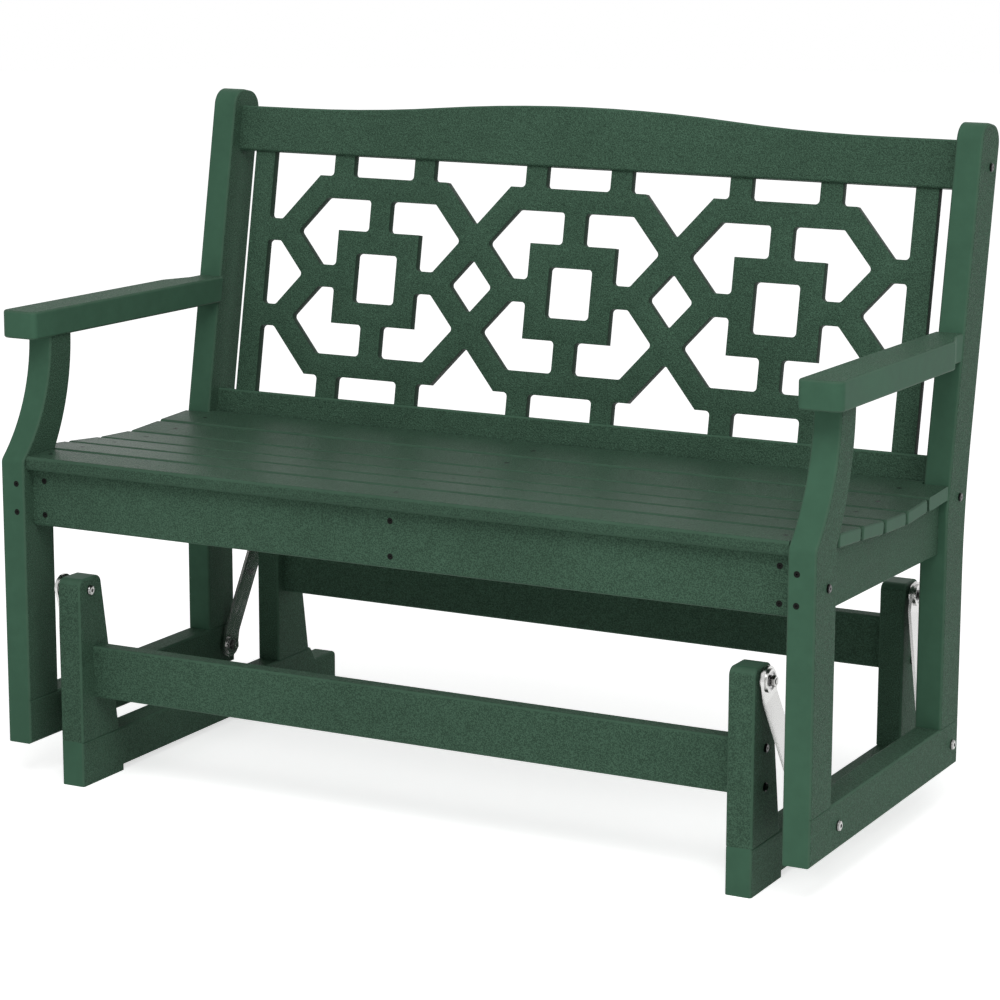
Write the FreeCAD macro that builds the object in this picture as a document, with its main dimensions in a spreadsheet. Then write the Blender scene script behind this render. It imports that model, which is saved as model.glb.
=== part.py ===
import FreeCAD, Part
import os
import re
import Sketcher

# Glider bench. A seat with a fretwork back hangs on four swinging links from a low base.
# X runs across the bench, Y from its front to its back, Z up from the floor.
# Left is the -X side. The origin is on the floor, in the middle of the footprint.
# Places along Y are worked out from the front of the seat's legs, then moved to the origin.

doc = FreeCAD.newDocument("glider_bench")

# Driving sizes in millimetres, angles in degrees
SIZES = (
    ("leg_span", 1221.0, "over the outer faces of the legs"),
    ("board", 38.1, "thickness of legs, posts, aprons, supports and seat runners"),
    ("base_board", 36.5, "thickness of base runners and uprights"),
    ("rail_thick", 25.4, "thickness of side rails, back rails and stretchers"),
    ("arris", 3.5, "rounding of board edges"),
    ("fine_arris", 1.2, "rounding of thin and butted edges"),
    ("runner_length", 535.4, "seat runner, front to back"),
    ("runner_under", 54.8, "floor to the seat runner"),
    ("runner_deep", 63.3, "seat runner, height"),
    ("leg_depth", 69.5, "front leg, front to back"),
    ("leg_bend", 461.5, "floor to where the leg's front edge starts to curve"),
    ("leg_heel", 455.0, "floor to where the leg's rear edge starts to curve"),
    ("leg_crease", 12.0, "rounding where the leg's edges turn"),
    ("leg_sweep", 72.0, "how far the leg's top stands behind its foot"),
    ("leg_neck", 50.5, "front leg, depth under the armrest"),
    ("post_front", 465.9, "front of the rear post's foot"),
    ("post_depth", 69.5, "rear post, front to back"),
    ("post_bend", 421.7, "floor to where the post's front edge starts to lean"),
    ("post_rise", 527.4, "length of the leaning part, along its front edge"),
    ("post_curve", 1000.0, "radius of the bend in the post's rear edge"),
    ("post_round", 26.0, "rounding of the post's top"),
    ("lean", 10.7, "lean of the back from upright"),
    ("arm_front", 28.7, "front end of the armrest"),
    ("arm_top", 666.1, "floor to the armrest's top at its front"),
    ("arm_thick", 38.8, "armrest, thickness"),
    ("arm_fall", 0.0145, "fall of the armrest per unit of its length"),
    ("arm_over", 15.9, "armrest beyond the leg's outer face"),
    ("arm_inside", 4.8, "armrest beyond the leg's inner face"),
    ("arm_corner", 14.0, "armrest, outer front corner"),
    ("arm_nook", 8.0, "armrest, inner front corner"),
    ("arm_shoulder", 432.0, "where the armrest's outer side turns in towards the post"),
    ("arm_turn", 49.0, "length of that turn"),
    ("arm_step", 16.9, "how far the outer side comes in by it"),
    ("shoulder_round", 10.0, "rounding at the start of the turn"),
    ("tail_round", 30.0, "rounding at the end of the turn"),
    ("apron_under", 367.7, "floor to aprons, side rails and seat supports"),
    ("rail_raise", 0.5, "underside of a side rail above the aprons' at its front"),
    ("rail_drop", 6.2, "underside of a side rail below the aprons' at its rear"),
    ("seat_level", 448.4, "floor to the underside of the front slats"),
    ("apron_front", 21.7, "front face of the front apron"),
    ("rear_apron_front", 492.8, "front face of the rear apron"),
    ("rear_apron_top", 446.8, "floor to the top of the rear apron"),
    ("slat_thick", 19.0, "seat slats, thickness"),
    ("slat_round", 5.0, "rounding of the long edges of the slats"),
    ("slat_end_round", 3.0, "rounding of the slats' ends"),
    ("nose_front", 5.4, "front edge of the first slat"),
    ("nose_width", 66.8, "width of the first slat"),
    ("slat_front", 76.5, "front edge of the second slat"),
    ("slat_pitch", 80.0, "from slat to slat"),
    ("slat_gap", 6.0, "between slats"),
    ("last_width", 87.2, "width of the last slat"),
    ("slat_inset", 1.0, "end of a slat inside the leg's outer face"),
    ("fit_gap", 1.0, "between a slat and the legs or posts beside it"),
    ("dip_three", 5.8, "drop of the third slat's front below the seat level"),
    ("dip_four", 12.8, "the same for the fourth slat"),
    ("dip_five", 16.5, "the same for the fifth slat"),
    ("dip_six", 12.9, "the same for the sixth slat"),
    ("dip_end", 9.3, "the same for the sixth slat's rear edge"),
    ("back_middle", 255.5, "lattice centre above the post's bend, along the lean"),
    ("crest_under", 180.5, "lattice centre to the crest rail's underside"),
    ("crest_deep", 66.8, "crest rail, height at its ends"),
    ("crest_rise", 21.0, "crest rail, rise of its middle over its ends"),
    ("crest_swell", 465.0, "half length of the crest's risen part"),
    ("low_rail_top", 181.8, "lattice centre down to the low rail's top"),
    ("low_rail_deep", 38.5, "low back rail, height"),
    ("lattice_thick", 13.0, "fretwork panel, thickness"),
    ("lattice_tongue", 10.0, "depth of the panel's edge in the rails"),
    ("groove_slack", 0.2, "room round the panel in its groove"),
    ("lattice_pitch", 321.5, "from one fretwork motif to the next"),
    ("stile_inner", 511.9, "middle of the bench to the inner edge of an end stile"),
    ("stile_outer", 545.5, "middle of the bench to the outer edge of an end stile"),
    ("band_inner", 15.8, "middle line of a diagonal band to its edge at vees and diamonds"),
    ("band_outer", 17.4, "middle line of a diagonal band to its edge at the squares"),
    ("band_angle", 48.9, "slope of the diagonal bands"),
    ("cross_up", 64.5, "where the diagonal bands cross, above the lattice centre"),
    ("tie_inner", 116.4, "lattice centre to the inner edge of a level tie bar"),
    ("tie_outer", 149.2, "lattice centre to the outer edge of a level tie bar"),
    ("stub_inner", 51.4, "motif centre to the inner edge of a stub"),
    ("stub_outer", 84.8, "motif centre to the outer edge of a stub"),
    ("spine_half", 16.8, "half width of the upright bars of the square"),
    ("waist_half", 16.6, "half width of the level bars of the square"),
    ("square_across", 68.3, "half width of the square frame"),
    ("square_up", 69.4, "half height of the square frame"),
    ("window_across", 34.75, "half width of the square's window"),
    ("window_up", 36.5, "half height of the square's window"),
    ("end_arm_half", 16.4, "half width of the arms that reach the end stiles"),
    ("cutter_round", 6.0, "radius left by the cutter in the fretwork's corners"),
    ("base_span", 1055.2, "over the outer faces of the base uprights"),
    ("base_front", 11.3, "front end of the base, behind the front of the legs"),
    ("base_length", 694.0, "base runner, front to back"),
    ("base_deep", 64.4, "base runner, height"),
    ("foot_length", 98.0, "length of each foot under a base runner"),
    ("foot_raise", 9.0, "height of the runner's underside between the feet"),
    ("tail_start", 6.0, "rear upright to where the base runner's top slopes down"),
    ("tail_slope", 14.0, "length of that slope"),
    ("tail_high", 42.0, "height of the base runner behind the slope"),
    ("tail_corner", 8.0, "rounding of the corners of the base runner's tail"),
    ("upright_top", 298.0, "floor to the top of an upright"),
    ("upright_foot", 90.7, "upright, depth at its foot"),
    ("upright_taper", 0.163, "taper of an upright's rear edge"),
    ("upright_round", 12.0, "rounding of an upright's top corners"),
    ("rear_upright", 533.2, "front face of the rear uprights"),
    ("front_bar", 41.4, "front face of the front stretcher"),
    ("front_bar_under", 124.0, "floor to the front stretcher"),
    ("rear_bar", 552.5, "front face of the rear stretcher"),
    ("rear_bar_under", 170.0, "floor to the rear stretcher"),
    ("bar_deep", 74.0, "stretchers, height"),
    ("bar_screw_low", 13.0, "lower screw of a stretcher's end, above its underside"),
    ("bar_screw_high", 10.0, "upper screw of a stretcher's end, below its top"),
    ("front_bar_screw", 8.0, "screws of the front stretcher, behind its front face"),
    ("rear_bar_screw", 17.2, "screws of the rear stretcher, behind its front face"),
    ("pivot_up", 280.0, "floor to the upper pivots"),
    ("pivot_low", 86.2, "floor to the lower pivots"),
    ("pivot_set", 25.3, "upper pivots, behind the front face of their upright"),
    ("front_pivot_low", 93.2, "lower front pivots, along Y"),
    ("rear_pivot_low", 511.6, "lower rear pivots, along Y"),
    ("strap_width", 37.5, "width of a link's strap"),
    ("strap_thick", 4.0, "thickness of a link's strap"),
    ("strap_flat", 24.0, "straight stretch of a strap past each pivot"),
    ("cup_radius", 15.5, "bearing cup, outside"),
    ("cup_length", 10.0, "bearing cup, along its axis"),
    ("bearing_radius", 12.0, "bearing, outside"),
    ("bearing_length", 9.0, "bearing, along its axis"),
    ("bearing_seal", 0.6, "depth of a bearing's recessed faces"),
    ("bearing_race", 1.5, "width of a bearing's outer rim"),
    ("bolt_radius", 4.0, "pivot bolts"),
    ("running_gap", 0.06, "between a bolt and its bearing"),
    ("swing_room", 3.4, "room round the rear lower bolts for the closing of the linkage"),
    ("side_gap", 0.4, "between a cup and the washer or nut beside it"),
    ("washer_thick", 2.0, "washers"),
    ("washer_radius", 9.0, "washers"),
    ("nut_across", 13.0, "nuts across flats"),
    ("nut_high", 5.5, "nuts"),
    ("bolt_end", 0.8, "end of a pivot bolt beyond its nut"),
    ("bolt_head", 7.0, "radius of a pivot bolt's head"),
    ("bolt_head_high", 4.4, "height of a pivot bolt's head"),
    ("bore_slack", 0.15, "room round screws and bolts in the boards"),
    ("slat_screw", 2.0, "radius of a slat screw's shank"),
    ("slat_screw_head", 3.8, "radius of a slat screw's head"),
    ("slat_screw_long", 31.8, "length of a slat screw"),
    ("frame_screw", 2.5, "radius of a frame screw's shank"),
    ("frame_screw_head", 4.2, "radius of a frame screw's head"),
    ("frame_screw_long", 70.0, "length of a frame screw"),
    ("head_sunk", 0.2, "countersunk heads, under the face of their board"),
    ("apron_screw_low", 16.0, "lower screws of the aprons, above the aprons' underside"),
    ("apron_screw_high", 64.0, "upper screws of the front apron"),
    ("rear_apron_screw", 48.0, "upper screws of the rear apron"),
    ("leg_screw_low", 21.0, "lower screw of a leg's front, above the aprons' underside"),
    ("leg_screw_high", 61.0, "upper screw of a leg's front"),
    ("post_screw", 12.0, "screw in a post's rear"),
    ("side_screw", 3.0, "radius of a side screw's shank"),
    ("side_screw_head", 5.8, "radius of a side screw's head"),
    ("side_screw_high", 3.2, "height of a side screw's head"),
    ("side_screw_long", 76.0, "length of a side screw"),
    ("front_side_screw", 37.7, "side screw of a leg, above the aprons' underside"),
    ("rear_side_screw", 67.3, "side screw of a post, above the aprons' underside"),
    ("crest_screw_edge", 2.0, "side screw of the crest rail, from the rail's rear face to its shank"),
    ("lag_screw", 4.0, "radius of a lag screw's shank"),
    ("lag_screw_head", 6.5, "radius of a lag screw's head"),
    ("lag_screw_high", 5.0, "height of a lag screw's head"),
    ("lag_screw_long", 100.0, "length of a lag screw"),
    ("lag_sink", 18.0, "depth of the hole that takes a lag screw's head"),
    ("lag_apart", 40.0, "between the two lag screws of a foot"),
    ("dowel", 5.0, "radius of a dowel"),
    ("dowel_long", 60.0, "length of a dowel"),
    ("dowel_in_post", 12.0, "depth of a rail's dowel in the post"),
    ("dowel_in_arm", 22.0, "depth of a leg's dowel in the armrest"),
    ("dowel_low", 0.62, "dowel of the low rail, part of the rail's height down"),
)

sheet = doc.addObject("Spreadsheet::Sheet", "Sizes")
for row, (name, size, note) in enumerate(SIZES, start=1):
    sheet.set(f"A{row}", name)
    sheet.set(f"B{row}", str(size))
    sheet.setAlias(f"B{row}", name)
    sheet.set(f"C{row}", note)
doc.recompute()
ALIASES = {name for name, size, note in SIZES}
NODES = {}

# Places that several pieces share
MIDDLE = "((base_front + base_length) / 2)"
LEG_OUT = "(leg_span / 2)"
LEG_IN = "(leg_span / 2 - board)"
RUNNER_TOP = "(runner_under + runner_deep)"
BASE_OUT = "(base_span / 2)"
BASE_IN = "(base_span / 2 - base_board)"
SLAT_END = "(leg_span / 2 - slat_inset)"
SUPPORT_MID = "(leg_span / 2 - board * 1.5)"
RAIL_MID = "(leg_span / 2 - board + rail_thick / 2)"
LATTICE_TOP = "(crest_under + lattice_tongue)"
LATTICE_LOW = "(low_rail_top + lattice_tongue)"
SIDES = (("left", -1), ("right", 1))


# Helpers for sizes and places

def bound(text):
    """The text as an expression that reads the sizes from the sheet."""
    return re.sub(r"[a-z_]+", lambda word: f"Sizes.{word[0]}" if word[0] in ALIASES else word[0], text)


def number(text):
    """The value of an expression."""
    return float(sheet.evalExpression(re.sub("Sizes[.]", "", text)))


def lower_side(sign, outer, thick):
    """Lowest X of a board whose far face is at outer on the side that sign gives."""
    return f"({outer} - {thick})" if sign > 0 else f"(-{outer})"


def place(piece, across, back, up, tilt="0"):
    """Puts a piece's own origin at a place, turned about X by tilt."""
    spot = f"vector({across}; {back} - {MIDDLE}; {up})"
    piece.setExpression("Placement", bound(f"placement({spot}; rotation(vector(1; 0; 0); {tilt}))"))


def place_on_back(piece, behind, along="0"):
    """Puts a piece on the leaning back: behind the post's front, along the lean from the lattice centre."""
    reach = f"(back_middle + {along})"
    back = f"(post_front + {reach} * sin(lean) + {behind} * cos(lean))"
    up = f"(post_bend + {reach} * cos(lean) - {behind} * sin(lean))"
    place(piece, "0", back, up, "-lean")


def point(across, back, up):
    """A place as a vector."""
    return FreeCAD.Vector(number(across), number(f"{back} - {MIDDLE}"), number(up))


def back_point(across, behind, along):
    """A place on the leaning back as a vector."""
    reach = f"(back_middle + {along})"
    back = f"(post_front + {reach} * sin(lean) + {behind} * cos(lean))"
    up = f"(post_bend + {reach} * cos(lean) - {behind} * sin(lean))"
    return point(across, back, up)


# Helpers for bodies, outlines and features

def new_body(name):
    """An empty body for one sub-part."""
    made = doc.addObject("PartDesign::Body", name)
    made.Label = name
    NODES[name] = made
    return made


def new_sketch(body, role):
    """A sketch on one of the body's own origin planes."""
    plane = next(item for item in body.Origin.OriginFeatures if item.Role == role)
    made = body.newObject("Sketcher::SketchObject", "Outline")
    made.AttachmentSupport = [(plane, "")]
    made.MapMode = "FlatFace"
    return made


def arc_between(start, end, radius, side):
    """The short arc from start to end. side is 1 where it bulges to the left, -1 to the right."""
    chord = end - start
    half = chord.Length / 2
    bulge = radius - (radius * radius - half * half) ** 0.5
    left = FreeCAD.Vector(-chord.y, chord.x, 0).normalize()
    return Part.Arc(start, (start + end) * 0.5 + left * (bulge * side), end)


def draw(sketch, corners, arcs=None):
    """A closed outline. Each corner is held by two distances. arcs gives radius and side of curved runs."""
    arcs = arcs or {}
    spots = [FreeCAD.Vector(number(across), number(up), 0) for across, up in corners]
    runs = []
    for index, start in enumerate(spots):
        end = spots[(index + 1) % len(spots)]
        if index in arcs:
            radius, side = arcs[index]
            made = sketch.addGeometry(arc_between(start, end, number(radius), side), False)
            first = 1 if sketch.getPoint(made, 1).distanceToPoint(start) < 0.001 else 2
            held = sketch.addConstraint(Sketcher.Constraint("Radius", made, number(radius)))
            sketch.setExpression(f"Constraints[{held}]", bound(radius))
        else:
            made = sketch.addGeometry(Part.LineSegment(start, end), False)
            first = 1
        runs.append((made, first))
    for index, (made, first) in enumerate(runs):
        after, after_first = runs[(index + 1) % len(runs)]
        sketch.addConstraint(Sketcher.Constraint("Coincident", made, 3 - first, after, after_first))
        for kind, text in zip(("DistanceX", "DistanceY"), corners[index]):
            held = sketch.addConstraint(Sketcher.Constraint(kind, -1, 1, made, first, number(text)))
            sketch.setExpression(f"Constraints[{held}]", bound(text))


def rectangle(left, low, right, high):
    """Corners of an upright rectangle."""
    return [(left, low), (right, low), (right, high), (left, high)]


def pad(body, sketch, depth, reverse=False, both_ways=False):
    """Makes the sketch solid."""
    made = body.newObject("PartDesign::Pad", "Pad")
    made.Profile = sketch
    made.setExpression("Length", bound(depth))
    made.Reversed = reverse
    made.Midplane = both_ways
    doc.recompute()
    return made


def pocket(body, sketch, depth=None, reverse=False):
    """Cuts the sketch out, to a depth or right through. A cut that takes nothing away stops the build."""
    before = body.Shape.Volume
    made = body.newObject("PartDesign::Pocket", "Pocket")
    made.Profile = sketch
    made.Reversed = reverse
    if depth:
        made.setExpression("Length", bound(depth))
    else:
        made.Type = "ThroughAll"
    doc.recompute()
    if body.Shape.Volume > before - 1:
        raise RuntimeError(f"{body.Label}: a pocket cuts nothing")
    return made


def soften(body, radius, chosen):
    """Rounds the edges of the body's last feature for which chosen is true."""
    last = body.Tip
    edges = [f"Edge{index}" for index, edge in enumerate(last.Shape.Edges, start=1) if chosen(edge)]
    made = body.newObject("PartDesign::Fillet", "Round")
    made.Base = (last, edges)
    made.setExpression("Radius", bound(radius))
    doc.recompute()
    return made


def flat_in(axis):
    """True for edges in a plane square to the axis."""
    return lambda edge: getattr(edge.BoundBox, f"{axis}Length") < 0.001


def runs_along(axis):
    """True for edges parallel to the axis."""
    others = [other for other in "XYZ" if other != axis]
    return lambda edge: all(getattr(edge.BoundBox, f"{other}Length") < 0.001 for other in others)


def side_board(name, corners, thick, across, arcs=None):
    """A board cut to an outline in the YZ plane, as thick as said along X. The outline is in true places."""
    body = new_body(name)
    outline = new_sketch(body, "YZ_Plane")
    draw(outline, corners, arcs)
    pad(body, outline, thick)
    place(body, across, "0", "0")
    return body


def cross_board(name, low_back, low_up, deep, high, half_length):
    """A board along X with a rectangular section and rounded long edges."""
    body = new_body(name)
    outline = new_sketch(body, "YZ_Plane")
    draw(outline, rectangle("0", "0", deep, high))
    pad(body, outline, f"2 * {half_length}")
    soften(body, "arris", runs_along("X"))
    place(body, f"-{half_length}", low_back, low_up)
    return body


# Seat frame: runners, legs, posts and armrests

def arm_line(back, thick="0"):
    """Height of the armrest's top at a place, or of its underside with its thickness."""
    return f"(arm_top - {thick} - arm_fall * ({back} - arm_front))"


def arm_at_post(thick):
    """Where the armrest's top or underside meets the leaning post."""
    meets = f"(post_front + (arm_top - {thick} + arm_fall * arm_front - post_bend) * tan(lean))"
    return f"({meets} / (1 + arm_fall * tan(lean)))"


def post_rear(up):
    """The rear face of a post at a height within the lower half of its bend."""
    start = "(post_bend - (post_depth + post_curve) * tan(lean / 2))"
    return f"(post_front + post_depth + ({up} - {start}) ^ 2 / (2 * post_curve))"


def sweep_radius(across, up):
    """Radius of an arc that covers a step across while it rises, and ends upright."""
    return f"((({across}) ^ 2 + ({up}) ^ 2) / (2 * ({across})))"


def make_seat_side(side, sign):
    """One end of the seat: runner, front leg, rear post, side rail and armrest."""
    across = lower_side(sign, LEG_OUT, "board")
    runner = side_board(f"seat_runner_{side}",
                        rectangle("0", "runner_under", "runner_length", RUNNER_TOP), "board", across)
    soften(runner, "arris", flat_in("X"))

    leg_top_front = arm_line("leg_sweep", "arm_thick")
    leg_back = "(leg_sweep + leg_neck)"
    leg_top_rear = arm_line(leg_back, "arm_thick")
    corners = [("0", RUNNER_TOP), ("0", "leg_bend"), ("leg_sweep", leg_top_front), (leg_back, leg_top_rear),
               ("leg_depth", "leg_heel"), ("leg_depth", RUNNER_TOP)]
    arcs = {1: (sweep_radius("leg_sweep", f"{leg_top_front} - leg_bend"), -1),
            3: (sweep_radius(f"{leg_back} - leg_depth", f"{leg_top_rear} - leg_heel"), 1)}
    leg = side_board(f"front_leg_{side}", corners, "board", across, arcs)
    ends = (number(RUNNER_TOP) + 0.1, number(leg_top_rear) - 0.1)
    soften(leg, "leg_crease", lambda edge: runs_along("X")(edge) and ends[0] < edge.CenterOfMass.z < ends[1])
    soften(leg, "arris", lambda edge: flat_in("X")(edge) and ends[0] < edge.CenterOfMass.z < ends[1])

    top_back = "(post_front + post_rise * sin(lean))"
    top_up = "(post_bend + post_rise * cos(lean))"
    corners = [("post_front", RUNNER_TOP), ("post_front", "post_bend"), (top_back, top_up),
               (f"({top_back} + post_depth * cos(lean))", f"({top_up} - post_depth * sin(lean))"),
               ("(post_front + post_depth)", "(post_bend - post_depth * tan(lean / 2))"),
               ("(post_front + post_depth)", RUNNER_TOP)]
    post = side_board(f"rear_post_{side}", corners, "board", across)
    crown = number(f"{top_up} - post_depth")
    soften(post, "post_round", lambda edge: runs_along("X")(edge) and edge.CenterOfMass.z > crown)
    behind = number("post_front + post_depth") - 0.1
    soften(post, "post_curve", lambda edge: runs_along("X")(edge) and edge.CenterOfMass.y > behind
           and ends[0] < edge.CenterOfMass.z < crown)
    soften(post, "arris", lambda edge: flat_in("X")(edge) and edge.CenterOfMass.z > ends[0])

    outline = contour("leg_depth", "post_front", "(apron_under + rail_raise)", "(apron_under - rail_drop)")
    rail = side_board(f"side_rail_{side}", outline, "rail_thick",
                      lower_side(sign, f"({LEG_IN} + rail_thick)", "rail_thick"))
    low = number("apron_under + rail_raise") + 0.1
    soften(rail, "arris", lambda edge: flat_in("X")(edge) and edge.CenterOfMass.z < low)

    rear_top = arm_at_post("0")
    rear_low = arm_at_post("arm_thick")
    corners = [("arm_front", "(arm_top - arm_thick)"), (rear_low, arm_line(rear_low, "arm_thick")),
               (rear_top, arm_line(rear_top)), ("arm_front", "arm_top")]
    arm_out = f"({LEG_OUT} + arm_over)"
    arm_wide = "(board + arm_over + arm_inside)"
    arm = side_board(f"armrest_{side}", corners, arm_wide, lower_side(sign, arm_out, arm_wide))
    trim_arm(arm, sign, arm_wide, rear_top)
    middle = number(arm_wide) / 2
    front = number("arm_front") + 0.1
    turning = number("arm_shoulder + arm_turn / 2")
    butt = number(rear_low) - 0.1
    for radius, outer, near, far in (("arm_corner", True, 0, front), ("arm_nook", False, 0, front),
                                     ("shoulder_round", True, front, turning),
                                     ("tail_round", True, turning, butt)):
        soften(arm, radius, lambda edge: runs_along("Z")(edge) and near < edge.CenterOfMass.y < far
               and ((edge.CenterOfMass.x - middle) * sign > 0) == outer)
    soften(arm, "arris", lambda edge: not runs_along("Z")(edge) and edge.CenterOfMass.y < butt)


def trim_arm(arm, sign, wide, end):
    """Cuts an armrest's outer side back to a narrower tail in front of the post."""
    def inward(step):
        return f"({wide} - {step})" if sign > 0 else step
    outline = new_sketch(arm, "XY_Plane")
    draw(outline, [(inward("0"), "arm_shoulder"), (inward("arm_step"), "(arm_shoulder + arm_turn)"),
                   (inward("arm_step"), f"({end} + 1)"), (inward("(-1)"), f"({end} + 1)"),
                   (inward("(-1)"), "arm_shoulder")])
    pocket(arm, outline, reverse=True)


def contour(front, rear, low_front="apron_under", low_rear="apron_under"):
    """A board under the slats: straight below, and on top the line of the slats' undersides."""
    top = [(front, "seat_level"), ("slat_front", "seat_level")]
    for count, dip in enumerate(("dip_three", "dip_four", "dip_five", "dip_six"), start=1):
        top.append((f"(slat_front + {count} * slat_pitch)", f"(seat_level - {dip})"))
    last_front, last_up = top[-1]
    slope = "((dip_six - dip_end) / last_width)"
    top.append((rear, f"({last_up} + {slope} * ({rear} - {last_front}))"))
    return [(front, low_front), (rear, low_rear)] + top[::-1]


# Seat: aprons, supports and slats

def make_aprons():
    """The two boards across the seat frame."""
    cross_board("front_apron", "apron_front", "apron_under", "board", "(seat_level - apron_under)", LEG_IN)
    cross_board("rear_apron", "rear_apron_front", "apron_under", "board", "(rear_apron_top - apron_under)",
                LEG_IN)


def make_supports():
    """Three boards from apron to apron that carry the slats."""
    spots = (("left", f"(-{LEG_IN})"), ("middle", "(-board / 2)"), ("right", f"({LEG_IN} - board)"))
    for name, across in spots:
        outline = contour("(apron_front + board)", "rear_apron_front")
        side_board(f"seat_support_{name}", outline, "board", across)


def make_slats():
    """Six slats. The first lies between the legs, the others run over the side rails."""
    nose = new_body("seat_slat_front")
    outline = new_sketch(nose, "YZ_Plane")
    draw(outline, rectangle("0", "0", "nose_width", "slat_thick"))
    half = f"({LEG_IN} - fit_gap)"
    pad(nose, outline, f"2 * {half}")
    soften(nose, "slat_round", runs_along("X"))
    place(nose, f"-{half}", "nose_front", "seat_level")

    dips = ("0", "dip_three", "dip_four", "dip_five", "dip_six", "dip_end")
    names = ("second", "third", "fourth", "fifth")
    for count, name in enumerate(names):
        body = new_body(f"seat_slat_{name}")
        outline = new_sketch(body, "YZ_Plane")
        draw(outline, rectangle("0", "0", "(slat_pitch - slat_gap)", "slat_thick"))
        pad(body, outline, f"2 * {SLAT_END}")
        soften(body, "slat_round", runs_along("X"))
        soften(body, "slat_end_round", flat_in("X"))
        tilt = f"atan(({dips[count]} - {dips[count + 1]}) / slat_pitch)"
        place(body, f"-{SLAT_END}", f"(slat_front + {count} * slat_pitch)",
              f"(seat_level - {dips[count]})", tilt)

    last = new_body("seat_slat_rear")
    outline = new_sketch(last, "XY_Plane")
    post_here = "(post_front + (seat_level - dip_end - post_bend) * tan(lean))"
    step = f"({post_here} - fit_gap - slat_front - 4 * slat_pitch)"
    inner = f"({LEG_IN} - fit_gap)"
    draw(outline, [(f"(-{SLAT_END})", "0"), (SLAT_END, "0"), (SLAT_END, step), (inner, step),
                   (inner, "last_width"), (f"(-{inner})", "last_width"), (f"(-{inner})", step),
                   (f"(-{SLAT_END})", step)])
    pad(last, outline, "slat_thick")
    soften(last, "slat_round", lambda edge: runs_along("X")(edge) and edge.CenterOfMass.y < 1)
    soften(last, "fine_arris", lambda edge: runs_along("X")(edge) and edge.CenterOfMass.z > 1
           and edge.CenterOfMass.y > number(step) - 1)
    place(last, "0", "(slat_front + 4 * slat_pitch)", "(seat_level - dip_six)",
          "atan((dip_six - dip_end) / last_width)")


# Back: crest rail, low rail and fretwork panel

RAIL_BEHIND = "((post_depth - rail_thick) / 2)"
LATTICE_BEHIND = "((post_depth - lattice_thick) / 2)"


def make_groove(body, low, high):
    """The groove along a back rail that takes the edge of the fretwork panel."""
    outline = new_sketch(body, "YZ_Plane")
    front = "((rail_thick - lattice_thick) / 2 - groove_slack)"
    rear = "((rail_thick + lattice_thick) / 2 + groove_slack)"
    draw(outline, rectangle(front, low, rear, high))
    cut = pocket(body, outline, "2 * (stile_outer + groove_slack)")
    cut.Midplane = True
    doc.recompute()


def make_back_rails():
    """The crest rail, whose top swells in the middle, and the low rail, both held between the posts."""
    crest = new_body("crest_rail")
    outline = new_sketch(crest, "XZ_Plane")
    shoulder = "(crest_under + crest_deep)"
    mid_x = "(crest_swell / 2)"
    mid_up = f"({shoulder} + crest_rise / 2)"
    radius = "(((crest_swell / 2) ^ 2 + (crest_rise / 2) ^ 2) / crest_rise)"
    corners = [(f"(-{LEG_IN})", "crest_under"), (LEG_IN, "crest_under"), (LEG_IN, shoulder),
               ("crest_swell", shoulder), (mid_x, mid_up), (f"(-{mid_x})", mid_up),
               ("(-crest_swell)", shoulder), (f"(-{LEG_IN})", shoulder)]
    draw(outline, corners, {3: (radius, 1), 4: (radius, -1), 5: (radius, 1)})
    pad(crest, outline, "rail_thick", reverse=True)
    soften(crest, "arris", lambda edge: flat_in("Y")(edge) and edge.BoundBox.XLength > 1)
    make_groove(crest, "(crest_under - 1)", "(crest_under + lattice_tongue + groove_slack)")
    place_on_back(crest, RAIL_BEHIND)

    low_rail = new_body("low_back_rail")
    outline = new_sketch(low_rail, "XZ_Plane")
    draw(outline, rectangle(f"(-{LEG_IN})", "(-low_rail_top - low_rail_deep)", LEG_IN, "(-low_rail_top)"))
    pad(low_rail, outline, "rail_thick", reverse=True)
    soften(low_rail, "arris", runs_along("X"))
    make_groove(low_rail, "(-low_rail_top - lattice_tongue - groove_slack)", "(1 - low_rail_top)")
    place_on_back(low_rail, RAIL_BEHIND)


def mirrored(corners, across=1, up=1):
    """The same outline turned over, left to right, top to bottom or both."""
    return [(f"({across} * {x})", f"({up} * {s})") for x, s in corners]


def shifted(corners, by):
    """The same outline moved across."""
    return [(f"({x} + {by})", s) for x, s in corners]


RISE = "(band_inner / cos(band_angle))"
STEP = "(band_outer / sin(band_angle))"
SLOPE = "tan(band_angle)"
KNEE = f"(lattice_pitch / 2 - {STEP})"
FACE_UP = "(crest_under + 1)"
FACE_LOW = "(low_rail_top + 1)"


def motif_openings():
    """Openings of one motif: four round the square, its window and the gaps between the stubs."""
    quarter = [("spine_half", "tie_inner"), (f"({KNEE} - (tie_inner - cross_up) / {SLOPE})", "tie_inner"),
               (KNEE, "cross_up"), (f"({KNEE} - (cross_up - waist_half) / {SLOPE})", "waist_half"),
               ("square_across", "waist_half"), ("square_across", "square_up"), ("spine_half", "square_up")]
    shapes = [mirrored(quarter, across, up) for across in (1, -1) for up in (1, -1)]
    shapes.append(rectangle("(-window_across)", "(-window_up)", "window_across", "window_up"))
    shapes.append(rectangle("(-stub_inner)", "tie_outer", "stub_inner", FACE_UP))
    shapes.append(rectangle("(-stub_inner)", f"(-{FACE_LOW})", "stub_inner", "(-tie_outer)"))
    return shapes


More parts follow.
